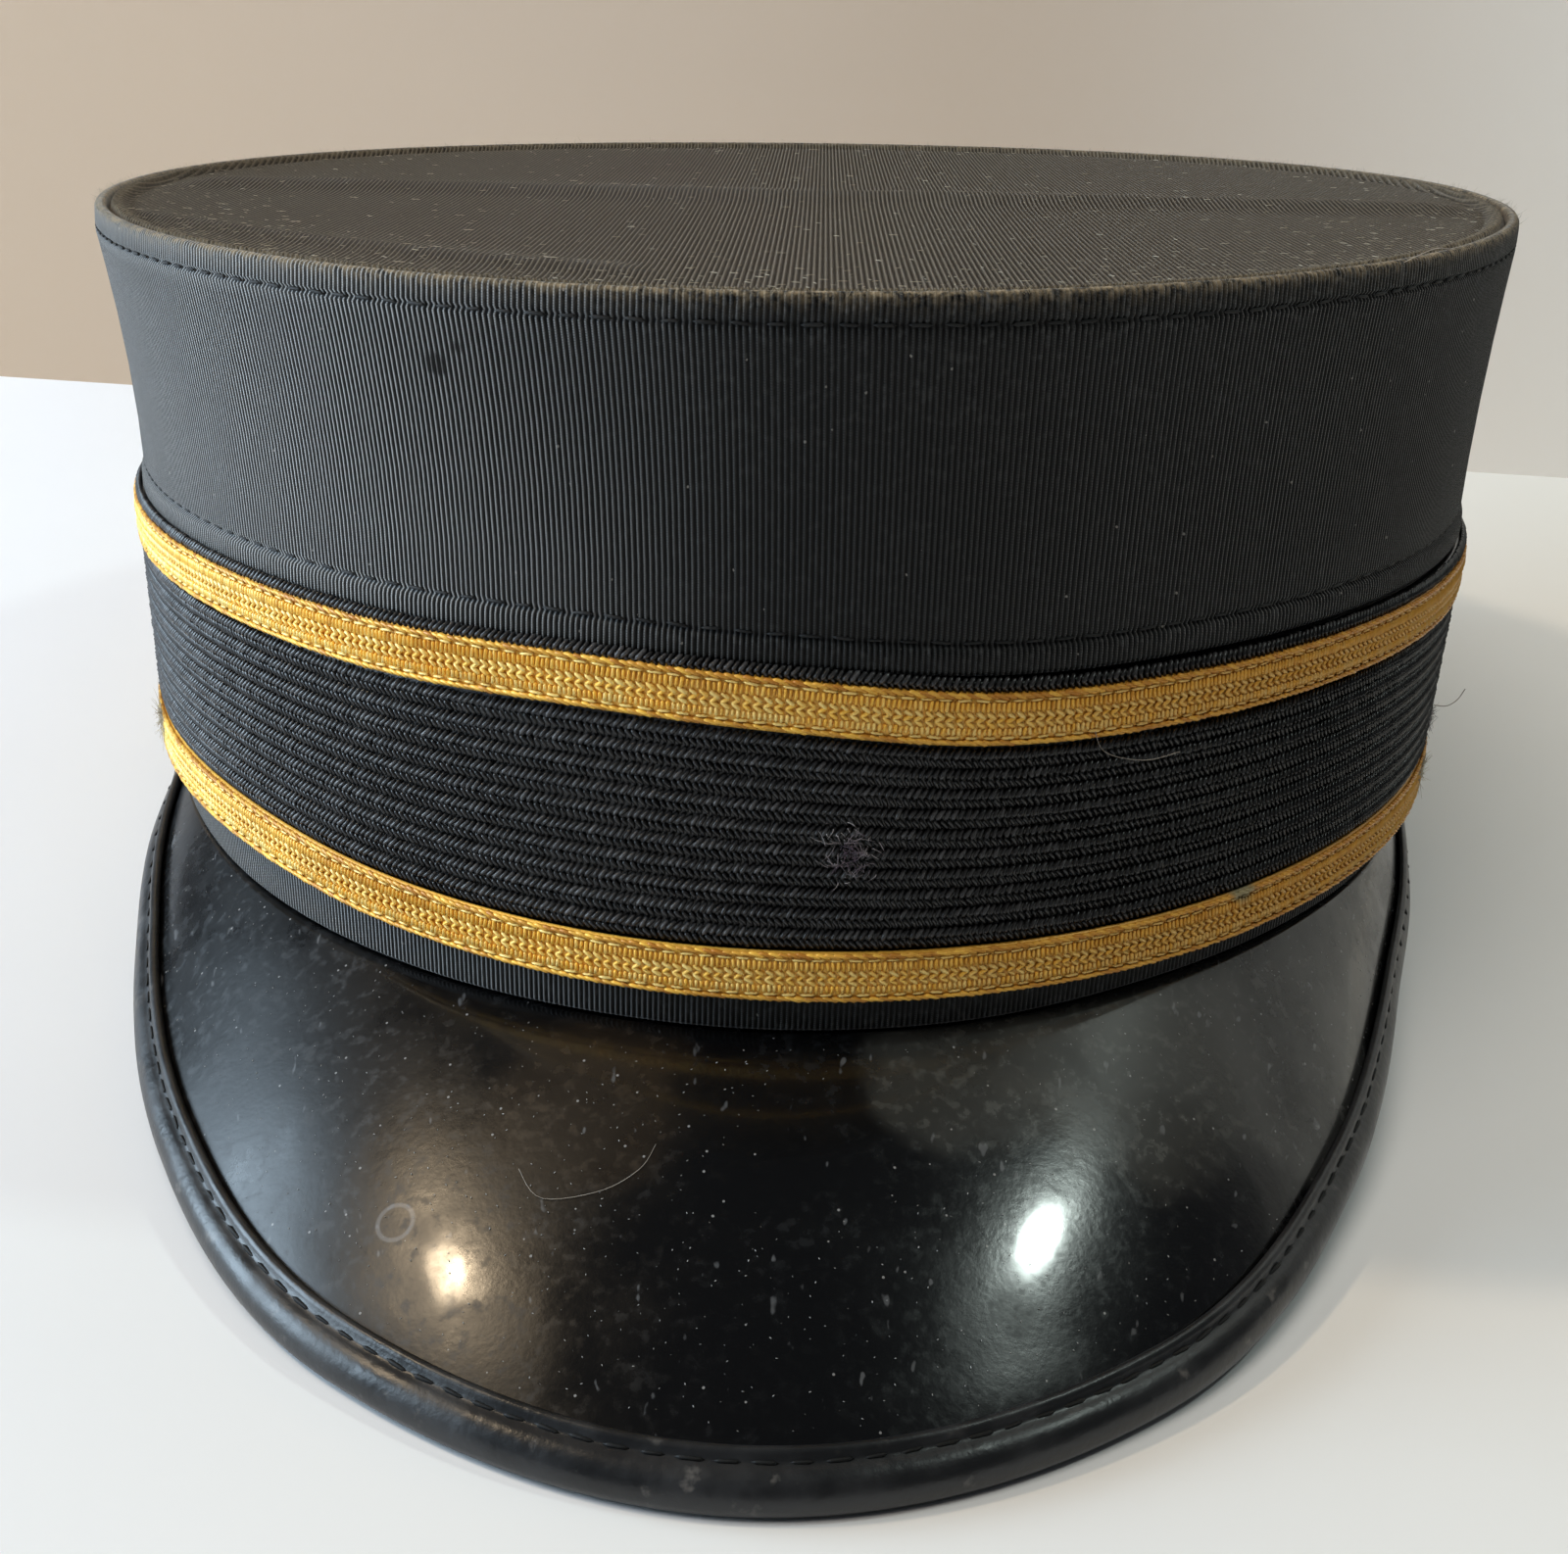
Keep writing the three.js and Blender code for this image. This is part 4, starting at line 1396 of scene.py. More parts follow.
@dataclass(frozen=True)
class Crown:
    """The ribbed cloth: crown wall, the panel set into its top, and the wall under the trim."""

    kit: Kit
    rib_pitch: float = 0.575
    relief: float = 0.25
    wall_ribs: int = 1040
    tip_inset: float = 1.6
    tip_margin: float = 0.03
    tip_rows: int = 56
    tip_thickness: float = 1.3
    roll_start: tuple[float, float] = (0.0, 0.5)
    roll_end: tuple[float, float] = (1.3, 2.2)
    roll_height: float = 0.7
    seam_inset: float = 2.6
    seam_width: float = 0.35
    seam_depth: float = 0.25
    dish: float = 0.8
    base_ribs: int = 1000
    base_fold: float = 0.35

    def build(self) -> None:
        """Builds and dresses the crown's pieces."""
        self.wall()
        self.tip()
        self.base()

    def wall(self) -> Piece:
        """The crown wall, whose ribs run from its folded hem to its worn edge."""
        cap = self.kit.cap
        ribs = Ribs(self.wall_ribs)
        angle = self.kit.round_crown(ribs.shares())
        crest = ribs.crests()
        loops, fields = [], {"crest": [], "dust": [], "wear": []}
        for row in WALL_ROWS:
            inset = row.inset - self.relief * row.rib * (crest - 0.5)
            if not row.on_top:
                inset = inset + self.billow(angle, row.at) * (row.rib > 0)
            loops.append(cap.top(inset, angle, row.at) if row.on_top else cap.crown(row.at, inset, angle))
            fields["crest"].append(np.where(row.rib > 0, crest, 0.5))
            fields["dust"].append(np.full_like(crest, row.dust))
            fields["wear"].append(np.full_like(crest, row.wear))
        piece = sweep(
            "crown_wall_cloth",
            cap.place(np.array(loops)),
            Ends.RING,
            np.append(ribs.shares(), 1.0) * ribs.count * self.rib_pitch,
            **{key: np.array(value) for key, value in fields.items()},
        )
        return self.kit.dress(piece, "ribbed_cloth", "ribbed_cloth", "crown_wall")

    @staticmethod
    def billow(angle: Array, share: float) -> Array:
        """The unevenness of the soft wall between its hem and its edge."""
        swell = 0.16 * np.sin(3 * angle + 0.8) + 0.12 * np.sin(7 * angle + 2.1) + 0.07 * np.sin(13 * angle)
        return swell * math.sin(math.pi * min(1.0, share))

    def panel_rise(self, x: Array, y: Array, share: Array) -> Array:
        """How far the top panel stands above the top's plane.

        Args:
            x: Places across the panel.
            y: Places along it.
            share: How far out each place lies, from 0 in the middle to 1 at the crown's edge.

        Returns:
            The heights.
        """
        rise = -self.roll_height - self.dish * (1 - share * share)
        for fold in FOLDS:
            away = (y - (fold.y0 + fold.slope * x + fold.bow * x * x)) / fold.width
            fade = smooth(x, fold.from_x, fold.from_x + 8) * (1 - smooth(x, fold.to_x - 8, fold.to_x))
            rise = rise + fold.height * fade * np.exp(-away * away)
        return rise

    def tip_grid(self, ribs: Ribs) -> tuple[Array, Array]:
        """The panel's points across and along it, in rows from front to back that close up at both ends."""
        cap = self.kit.cap
        width = cap.top_oval[0] - self.tip_inset - self.tip_margin
        x = blend(-width, width, ribs.shares())
        turn = np.linspace(-math.pi, 0, 3001)
        front = cap.oval(cap.top_oval, self.tip_inset, turn, 0.0)
        back = cap.oval(cap.top_oval, self.tip_inset, -turn, 0.0)
        low = np.interp(x, front[:, 0], front[:, 1])
        high = np.interp(x, back[:, 0], back[:, 1])
        along = (1 - np.cos(math.pi * np.linspace(0, 1, self.tip_rows))) / 2
        y = blend(low, high, along[:, None])
        return np.broadcast_to(x, y.shape), y

    def tip(self) -> Piece:
        """The top panel, with its ribs from front to back and its edge turned under."""
        cap = self.kit.cap
        ribs = Ribs(int(2 * (cap.top_oval[0] - self.tip_inset) / self.rib_pitch))
        x, y = self.tip_grid(ribs)
        angle = np.arctan2(y / cap.top_oval[1], x / cap.top_oval[0])
        reach = np.linalg.norm(cap.oval(cap.top_oval, 0.0, angle, 0.0)[..., :2], axis=-1)
        radius = np.hypot(x, y)
        share = radius / reach
        inward = reach - radius - self.tip_inset
        sheet = self.panel_rise(x, y, share) + cap.saddle * (np.cos(angle) ** 2 - 0.5) * share
        roll = smooth(inward, *self.roll_start) * (1 - smooth(inward, *self.roll_end))
        crest = np.broadcast_to(ribs.crests(), y.shape)
        rib = self.relief * (crest - 0.5) * smooth(inward, 0.1, 0.6)
        seam = self.seam_depth * np.exp(-(((inward - self.seam_inset) / self.seam_width) ** 2))
        upper = np.stack([x, y, sheet + roll * self.roll_height + rib - seam], -1)
        under = np.stack([x, y, sheet - self.tip_thickness], -1)[TIP_UNDER_ROWS]
        front_left = smooth(-x, 0.0, 30.0) * smooth(-y, 40.0, 80.0)
        dust = 0.35 + 0.4 * (1 - smooth(inward, 0, 14)) + 0.3 * front_left
        piece = sweep(
            "crown_tip_cloth",
            cap.place(cap.top_plane(np.concatenate([upper, under]))),
            Ends.CAPS,
            ribs.shares() * ribs.count * self.rib_pitch,
            crest=np.concatenate([crest, crest[TIP_UNDER_ROWS]]),
            dust=np.concatenate([dust, dust[TIP_UNDER_ROWS]]),
            wear=np.concatenate([roll * 0.8, np.zeros_like(under[..., 0])]),
        )
        return self.kit.dress(piece, "top_cloth", "top_cloth", "crown_tip")

    def base(self) -> Piece:
        """The cloth wall under the trim, ribbed where it shows below the lower braid."""
        cap = self.kit.cap
        ribs = Ribs(self.base_ribs)
        angle = self.kit.round_trim(cap.base_inset, ribs.shares())
        crest = ribs.crests()
        bottom = cap.rim_height(angle) + cap.peak_gap * (1 - smooth(np.sin(angle), -0.15, 0))
        top = cap.ring_height(Level.HEM, angle) - cap.gap
        shown = cap.ring_height(Level.LOWER_BRAID, angle) - 1.5
        inner, outer, fold = cap.base_inset + cap.cloth, cap.base_inset, self.base_fold
        rows = (
            (inner, top, 0.0),
            (inner, blend(bottom, top, 0.5), 0.0),
            (inner, bottom + fold, 0.0),
            (inner - fold, bottom, 0.0),
            (outer + fold, bottom, 0.3),
            (outer, bottom + fold, 1.0),
            (outer, blend(bottom, shown, 0.4), 1.0),
            (outer, blend(bottom, shown, 0.75), 1.0),
            (outer, shown, 1.0),
            (outer, shown + 1, 0.0),
            (outer, top, 0.0),
        )
        valley = self.relief * (1 - crest)
        loops = [cap.trim(inset + valley * rib, angle, height) for inset, height, rib in rows]
        piece = sweep(
            "base_wall_cloth",
            cap.place(np.array(loops)),
            Ends.RING,
            np.append(ribs.shares(), 1.0) * ribs.count * self.rib_pitch,
            crest=np.array([crest if rib else np.full_like(crest, 0.5) for _, _, rib in rows]),
            dust=np.array([np.full_like(crest, 0.25 if rib else 0.0) for _, _, rib in rows]),
            wear=np.zeros((len(rows), len(crest))),
        )
        return self.kit.dress(piece, "ribbed_cloth", "ribbed_cloth", "base_wall")


class BraidRow(NamedTuple):
    """One row of a gold braid's threads: how far it lies above the braid's middle, and its threads."""

    across: float
    threads: ThreadRow


# Places across half the braid's width, and how deep its core lies there as a share of its thickness.
BRAID_RELIEF = ((-1.0, 0.8), (-0.9, 0.62), (-0.45, 0.5), (0.0, 0.66), (0.45, 0.5), (0.9, 0.62), (1.0, 0.8))
BRAID_ROWS = (
    BraidRow(2.45, ThreadRow(0.95, 1.9, 0.5, 0.5, -12, 4, 0.22, 0.2)),
    BraidRow(2.02, ThreadRow(1.9, 1.6, 0.34, 0.42, 0, 6, 1.0, 0.1)),
    BraidRow(1.35, ThreadRow(0.53, 1.2, 0.44, 0.62, 90, 7, 0.5, 0.25)),
    BraidRow(0.48, ThreadRow(1.05, 1.3, 0.52, 0.5, -35, 5, 0.85, 0.15)),
    BraidRow(0.0, ThreadRow(1.05, 1.2, 0.46, 0.48, 35, 5, 0.62, 0.15)),
    BraidRow(-0.48, ThreadRow(1.05, 1.25, 0.5, 0.5, -35, 5, 0.75, 0.15)),
    BraidRow(-1.22, ThreadRow(0.53, 0.95, 0.42, 0.62, 90, 7, 0.75, 0.3)),
    BraidRow(-1.85, ThreadRow(1.9, 1.5, 0.34, 0.42, 0, 6, 1.0, 0.1)),
    BraidRow(-2.35, ThreadRow(0.95, 1.9, 0.5, 0.5, -12, 4, 0.3, 0.2)),
)


class MohairRow(NamedTuple):
    """One of the two rows of a mohair rib: how far it faces up, in degrees, and its thread bundles."""

    tilt: float
    threads: ThreadRow


# The upper row's bundles have a higher tone than the lower row's, so the upward-facing row is lighter:
# painted highlight.
MOHAIR_UPPER = MohairRow(28, ThreadRow(0.72, 1.45, 0.5, 0.5, 55, 9, 0.55, 0.18))
MOHAIR_LOWER = MohairRow(-14, ThreadRow(0.72, 1.35, 0.48, 0.48, -55, 9, 0.36, 0.18))


@dataclass(frozen=True)
class Trim:
    """The band round the crown's foot: ribbed mohair between two gold braids."""

    kit: Kit
    braid_width: float = 5.6
    braid_thickness: float = 1.2
    band_ribs: int = 10
    band_back: float = 2.3
    valley: float = 1.5
    crest: float = 0.9
    top_rib: float = 1.0
    backing_depth: float = 0.2
    row_place: float = 0.25
    top_row_place: float = 0.28
    thread_inset: float = 0.5
    thread_tilt: float = 3.0
    core_tone: float = 0.35
    band_points: int = 400
    braid_points: int = 720

    def build(self) -> None:
        """Builds and dresses the band and both braids."""
        self.band()
        self.braid("gold_braid_upper", Level.UPPER_BRAID)
        self.braid("gold_braid_lower", Level.LOWER_BRAID)

    def levels(self, angle: Array) -> tuple[Array, Array, Array, Array]:
        """Heights round the cap: the lower and upper braids' middles, and the band between them."""
        cap = self.kit.cap
        low = cap.ring_height(Level.LOWER_BRAID, angle)
        high = cap.ring_height(Level.UPPER_BRAID, angle)
        free = self.braid_width / 2 + cap.gap
        return low, high, low + free, high - free

    def band(self) -> None:
        """The mohair band's backing, and two rows of thread bundles on each of its ribs."""
        cap, kit = self.kit.cap, self.kit
        angle = kit.round_trim(1.0, even_shares(self.band_points))
        low, high, start, end = self.levels(angle)
        half, behind = self.braid_width / 2, self.braid_thickness + cap.gap
        rib = (end - start) / self.band_ribs
        rib_top = np.minimum(high + half + self.top_rib, cap.ring_height(Level.HEM, angle) - cap.gap)
        over_braid = (high + half + cap.gap + rib_top) / 2
        under_threads = self.crest + self.backing_depth
        rows = [(behind, low - half + 1)]
        for i in range(self.band_ribs):
            rows += [(self.valley, start + i * rib), (under_threads, start + (i + 0.5) * rib)]
        rows += [(self.valley, end), (behind, high + half), (under_threads, over_braid), (behind, rib_top)]
        rows += [(self.band_back, rib_top), (self.band_back, low - half + 1)]
        loops = np.array([cap.trim(inset, angle, height) for inset, height in rows])
        piece = sweep("mohair_backing", cap.place(loops), Ends.RING, tone=np.zeros(loops.shape[:2]))
        kit.dress(piece, "mohair", "mohair", "mohair_band")
        for i in range(self.band_ribs):
            self.mohair_rib(i + 1, angle, start + (i + 0.5) * rib, rib * self.row_place)
        self.mohair_rib(self.band_ribs + 1, angle, over_braid, self.top_row_place)

    def mohair_rib(self, number: int, angle: Array, middle: Array, spread: Array | float) -> None:
        """One rib of the band: two rows of slanted thread bundles that meet along its crest.

        Args:
            number: Its number, from the lowest rib up.
            angle: Angles round the cap.
            middle: The heights of its crest.
            spread: How far above and below the crest the rows lie.
        """
        kit = self.kit
        halves = []
        for row, height in ((MOHAIR_UPPER, middle + spread), (MOHAIR_LOWER, middle - spread)):
            path, outward = kit.ring_path(self.crest, height, angle, row.tilt)
            halves.append(row.threads.lay("rib_half", path, outward, True, kit, "mohair"))
        kit.dress(join(f"mohair_rib_{number:02d}", halves), "mohair", "mohair")

    def braid(self, node: str, level: Level) -> None:
        """A gold braid: a flat body under rows of plaited, laddered and sewn threads."""
        cap, kit = self.kit.cap, self.kit
        angle = kit.round_trim(0.0, even_shares(self.braid_points))
        middle = cap.ring_height(level, angle)
        half = self.braid_width / 2
        rows = [(self.braid_thickness, half), (self.braid_thickness, -half)]
        rows += [(depth * self.braid_thickness, across * half) for across, depth in BRAID_RELIEF]
        loops = np.array([cap.trim(inset, angle, middle + across) for inset, across in rows])
        tone = np.full(loops.shape[:2], self.core_tone)
        pieces = [sweep(f"{node}_core", cap.place(loops), Ends.RING, tone=tone)]
        for row in BRAID_ROWS:
            tilt = self.thread_tilt * row.across
            path, outward = kit.ring_path(self.thread_inset, middle + row.across, angle, tilt)
            pieces.append(row.threads.lay(f"{node}_row", path, outward, True, kit, "gold_braid"))
        piece = join(f"{node}_threads", pieces)
        kit.dress(piece, "gold_braid", "gold_braid", node)


class BindingPoint(NamedTuple):
    """A corner of the binding's section: how far out from its inner edge, and how high over the sheet."""

    out: float
    up: float
    rub: float = 0.0


BINDING_SECTION = (
    BindingPoint(0.0, 0.4),
    BindingPoint(0.0, 0.9),
    BindingPoint(0.22, 1.2),
    BindingPoint(0.6, 1.35, 0.5),
    BindingPoint(1.05, 1.22, 0.2),
    BindingPoint(1.4, 0.98),
    BindingPoint(1.8, 0.96),
    BindingPoint(2.2, 1.14, 0.3),
    BindingPoint(2.9, 1.32, 0.8),
    BindingPoint(3.7, 1.3, 1.0),
    BindingPoint(4.5, 1.05, 1.0),
    BindingPoint(5.15, 0.55, 1.0),
    BindingPoint(5.6, -0.15, 0.8),
    BindingPoint(5.75, -0.85, 0.4),
    BindingPoint(5.6, -1.6, 0.2),
    BindingPoint(5.1, -2.25),
    BindingPoint(4.2, -2.62),
    BindingPoint(3.0, -2.7),
    BindingPoint(1.5, -2.68),
    BindingPoint(0.2, -2.55),
    BindingPoint(0.0, -1.8),
)


@dataclass(frozen=True)
class Visor:
    """The patent leather peak and the binding round its edge."""

    kit: Kit
    nose: float = 0.75
    slack: float = 0.4
    under_margin: float = 2.2
    ripple: float = 0.10
    sheet_columns: int = 221
    sheet_rows: int = 34
    binding_columns: int = 361

    def build(self) -> None:
        """Builds and dresses the peak and its binding."""
        self.sheet()
        self.binding()

    def sheet(self) -> Piece:
        """The lacquered sheet, from under the base wall to inside the binding."""
        cap, form = self.kit.cap, self.kit.peak
        bearing = form.bearings(self.sheet_columns)
        lines = form.lines(bearing)
        start = form.binding_start(lines)
        shares = np.linspace(0, 1, self.sheet_rows)
        stations = [share * start for share in shares] + [lines.length - self.nose]
        upper = []
        for distance in stations:
            fade = smooth(distance, 2.0, 12.0) * (1 - smooth(distance, start - 6, start))
            ripple = self.ripple * np.sin(distance / 9 + 3 * bearing) * np.sin(5 * bearing + 0.6)
            upper.append(form.point(lines, distance, ripple * fade))
        under = [form.point(lines, distance, -form.sheet) for distance in stations[1::4]]
        angle_down = cap.stand(np.array([[0, 0, -form.sheet]]))[0] - cap.stand(np.zeros((1, 3)))[0]
        flange_under = lines.flange + angle_down
        inward = unit(lines.flange - lines.root)
        bend = np.arccos(np.clip(-(lines.up @ angle_down) / form.sheet, -1, 1))
        fold = lines.root + angle_down + inward * (form.sheet * np.tan(bend / 2))[:, None]
        loop = np.array([lines.flange, *upper, *under[::-1], fold, flange_under])
        piece = sweep("peak_sheet", cap.in_frame(loop), Ends.CAPS)
        return self.kit.dress(piece, "patent_leather", "patent_leather", "peak")

    def binding(self) -> Piece:
        """The leather strip folded round the sheet's edge, with a sewn groove inside its outer roll."""
        cap, form = self.kit.cap, self.kit.peak
        lines = form.lines(form.bearings(self.binding_columns))
        start = form.binding_start(lines)
        room = lines.length - start
        slot = lines.length - self.nose + self.slack
        loop, rub = [], []
        for point in BINDING_SECTION:
            distance = start + point.out * room / form.binding
            if point.up < -form.sheet and point.out < 3:
                distance = np.maximum(distance, self.under_margin)
            loop.append(form.point(lines, distance, point.up))
            rub.append(np.full_like(start, point.rub))
        for height in (-form.sheet - self.slack, self.slack):
            loop.append(form.point(lines, slot, height))
            rub.append(np.zeros_like(start))
        piece = sweep("peak_binding_strip", cap.in_frame(np.array(loop)), Ends.CAPS, rub=np.array(rub))
        return self.kit.dress(piece, "binding_leather", "binding_leather", "peak_binding")


class Tuft(NamedTuple):
    """A patch of frayed fibres on the trim.

    It lies at an angle round the cap in degrees, at a height above the rim's plane and inside the trim's
    face by an inset. Spread is its width and height.
    """

    name: str
    angle: float
    height: float
    inset: float
    spread: tuple[float, float]
    count: int
    length: float
    finish: str
    slot: str


TUFTS = (
    Tuft("front_fray", -85.5, 21.6, 0.45, (2.2, 3.0), 120, 0.65, "frayed", "mohair"),
    Tuft("side_fray", -18.0, 17.5, 0.7, (1.8, 1.8), 90, 1.3, "frayed", "mohair"),
    Tuft("left_braid_fray", -158.0, 13.0, 0.3, (2.4, 1.5), 110, 1.6, "lint", "gold_braid"),
    Tuft("right_braid_fray", -22.0, 12.6, 0.3, (2.4, 1.2), 70, 1.4, "lint", "gold_braid"),
)


class Hair(NamedTuple):
    """A long hair or loose thread: its marks, its thickness and the number of points along it.

    A mark on the trim or on the crown's edge is an angle round the cap in degrees, a height and an inset.
    A mark on the peak is a bearing in degrees and a share of the way out to the binding.
    """

    name: str
    radius: float
    points: int
    marks: tuple[tuple[float, ...], ...]


BAND_HAIRS = (
    Hair(
        "band_hair",
        0.045,
        24,
        (
            (-69.5, 33.4, 0.1),
            (-69.0, 31.6, -0.2),
            (-67.8, 30.6, -0.5),
            (-65.4, 29.9, -0.6),
            (-62.8, 30.2, -0.3),
        ),
    ),
    Hair(
        "stray_thread",
        0.07,
        24,
        ((-20.0, 20.2, 0.4), (-18.5, 19.6, -1.2), (-17.2, 20.0, -2.4), (-16.6, 21.2, -3.1)),
    ),
)
EDGE_HAIR = Hair(
    "seam_hair",
    0.05,
    20,
    ((-47.0, -0.3, 0.1), (-45.5, 0.3, -0.3), (-43.5, 0.7, -0.6), (-41.5, 0.3, -1.0)),
)
PEAK_HAIR = Hair(
    "peak_hair",
    0.032,
    24,
    ((-19.2, 0.475), (-16.5, 0.53), (-12.2, 0.475), (-9.6, 0.40), (-8.8, 0.33)),
)


class Specks(NamedTuple):
    """Specks strewn over a cloth: their number for each square metre, their sizes and their tone."""

    density: float
    length: float
    width: float
    height: float
    tone: float
    tone_spread: float = 0.2


@dataclass(frozen=True)
class Sewing:
    """Stitches, and the marks of use: frayed edges and threads, hairs and lint."""

    kit: Kit
    crown_stitch: ThreadRow = ThreadRow(3.2, 2.1, 0.36, 0.3, 0, 5, 0.35, 0.35)
    crown_rows: tuple[tuple[str, float], ...] = (("top_stitches", 0.922), ("hem_stitches", 0.088))
    path_points: int = 720
    binding_stitch: ThreadRow = ThreadRow(3.4, 2.6, 0.42, 0.34, 0, 4, 0.1, 0.1)
    groove: tuple[float, float] = (1.6, 1.0)
    groove_ends: int = 6
    edge_fibres: int = 1200
    edge_fibre_radius: float = 0.022
    tuft_fibre_radius: float = 0.05
    lint_specks: Specks = Specks(150000.0, 1.0, 0.065, 0.05, 0.7)
    lint_height: float = 0.14
    dust_specks: Specks = Specks(190000.0, 0.20, 0.07, 0.05, 0.8)
    dust_height: float = 0.02

    def build(self) -> None:
        """Builds and dresses all of them."""
        self.crown_stitches()
        self.binding_stitches()
        self.worn_edge()
        self.tufts()
        self.hairs()
        self.lint()
        self.peak_dust()

    def crown_stitches(self) -> None:
        """The two rows of stitches round the crown wall: under its edge, and over its hem."""
        cap, kit = self.kit.cap, self.kit
        angle = kit.round_crown(even_shares(self.path_points))
        for name, share in self.crown_rows:
            path = cap.place(cap.crown(share, 0.02, angle))
            piece = self.crown_stitch.lay(name, path, off_ring(path, -12), True, kit, "waxed_thread")
            kit.dress(piece, "waxed_thread", "ribbed_cloth")

    def binding_stitches(self) -> None:
        """The stitches in the binding's groove, up to a little short of the peak's tips."""
        form, kit = self.kit.peak, self.kit
        lines = form.lines(form.bearings(Visor.binding_columns)[self.groove_ends : -self.groove_ends])
        start = form.binding_start(lines)
        out, up = self.groove
        along = form.point(lines, start + out * (lines.length - start) / form.binding, up)
        path = kit.cap.in_frame(along)
        piece = self.binding_stitch.lay("binding_stitches", path, lines.up, False, kit, "waxed_thread")
        kit.dress(piece, "waxed_thread", "binding_leather")

    def worn_edge(self) -> None:
        """Short fibres that stand out of the crown wall's worn upper edge."""
        cap, kit = self.kit.cap, self.kit
        rng = np.random.default_rng(11)
        count = self.edge_fibres
        angle = rng.uniform(-math.pi, math.pi, count)
        inset = rng.uniform(0.0, 1.1, count)
        roots = cap.place(cap.top(inset, angle, -0.12 - 0.5 * np.abs(inset - 0.6)))
        out = inset - rng.normal(0.25, 0.35, count)
        turned = angle + rng.normal(0, 0.005, count)
        tips = cap.place(cap.top(out, turned, rng.uniform(0.05, 0.6, count)))
        bends = rng.normal(0, 0.18, (count, 3)) * MM
        piece = fibres("worn_edge_fibres", roots, tips - roots, bends, self.edge_fibre_radius * MM)
        kit.dress(piece, "edge_fuzz", "ribbed_cloth")

    def tufts(self) -> None:
        """Frayed patches of the band and of the braids' ends."""
        cap, kit = self.kit.cap, self.kit
        mean_radius = 90
        for k, tuft in enumerate(TUFTS):
            rng = np.random.default_rng(20 + k)
            angle = math.radians(tuft.angle) + rng.normal(0, tuft.spread[0] / 2 / mean_radius, tuft.count)
            height = tuft.height + rng.normal(0, tuft.spread[1] / 2, tuft.count)
            roots = cap.place(cap.trim(tuft.inset, angle, height))
            tips = cap.trim(
                tuft.inset - rng.uniform(0.1, 0.7, tuft.count),
                angle + rng.normal(0, tuft.length / mean_radius, tuft.count),
                height + rng.normal(0, tuft.length * 0.8, tuft.count),
            )
            bends = rng.normal(0, 0.35, (tuft.count, 3)) * MM
            piece = fibres(tuft.name, roots, cap.place(tips) - roots, bends, self.tuft_fibre_radius * MM)
            kit.dress(piece, tuft.finish, tuft.slot)

    def hairs(self) -> None:
        """Loose hairs and threads on the band, the crown's edge and the peak."""
        cap, form = self.kit.cap, self.kit.peak
        for strand in BAND_HAIRS:
            angle, height, inset = np.array(strand.marks).T
            self.hair(strand, cap.place(cap.trim(inset, np.radians(angle), height)), "mohair")
        angle, rise, inset = np.array(EDGE_HAIR.marks).T
        self.hair(EDGE_HAIR, cap.place(cap.top(inset, np.radians(angle), rise)), "ribbed_cloth")
        bearing, share = np.array(PEAK_HAIR.marks).T
        lines = form.lines(np.radians(bearing))
        on_peak = form.point(lines, share * form.binding_start(lines), 0.12)
        self.hair(PEAK_HAIR, cap.in_frame(on_peak), "patent_leather")

    def hair(self, strand: Hair, marks: Array, slot: str) -> None:
        """Lays one hair through its marks, given in metres, and dresses it."""
        line = curve_through(marks, strand.points)
        self.kit.dress(hair(strand.name, line, strand.radius * MM), "hair", slot)

    def lint(self) -> None:
        """Flecks of lint on the top panel, thickest near its front."""
        cap, panel = self.kit.cap, Crown(self.kit)
        rings, spokes = np.linspace(0.02, 0.975, 40), np.linspace(-math.pi, math.pi, 97)
        radius, angle = np.meshgrid(rings, spokes, indexing="ij")
        x = radius * np.cos(angle) * cap.top_oval[0]
        y = radius * np.sin(angle) * cap.top_oval[1]
        bend = cap.saddle * (np.cos(angle) ** 2 - 0.5) * radius
        points = np.stack([x, y, panel.panel_rise(x, y, radius) + bend + self.lint_height], -1)
        near_front = smooth(-y, -20.0, 95.0)
        dust = 0.12 + 0.9 * near_front * smooth(radius, 0.6, 0.97) + 0.4 * smooth(radius, 0.85, 0.975)
        carrier = grid_mesh("lint", cap.place(cap.top_plane(points)), dust)
        self.strew("top_lint", carrier, self.lint_specks, "lint", "top_cloth")

    def peak_dust(self) -> None:
        """Specks of dust on the peak."""
        form, kit = self.kit.peak, self.kit
        lines = form.lines(form.bearings(81)[3:-3])
        start = form.binding_start(lines)
        rows = [form.point(lines, share * start, self.dust_height) for share in np.linspace(0.04, 0.97, 24)]
        points = np.stack(rows)
        carrier = grid_mesh("dust", kit.cap.in_frame(points), np.ones(points.shape[:2]))
        self.strew("peak_dust", carrier, self.dust_specks, "dust", "patent_leather")

    def strew(self, name: str, carrier: bpy.types.Mesh, specks: Specks, finish: str, slot: str) -> None:
        """Strews specks over a mesh and dresses them.

        Args:
            name: The new piece's name.
            carrier: The mesh.
            specks: The specks.
            slot: Handed to dress, which does not use it.
        """
        sizes = {
            "Density": specks.density,
            "Length": specks.length * MM,
            "Width": specks.width * MM,
            "Height": specks.height * MM,
            "Tone": specks.tone,
            "Tone Spread": specks.tone_spread,
        }
        kit = self.kit
        kit.dress(kit.grow(name, kit.growth.scatter_tree, carrier, finish, sizes), finish, slot)


# ---------------------------------------------------------------- stage, lights and camera


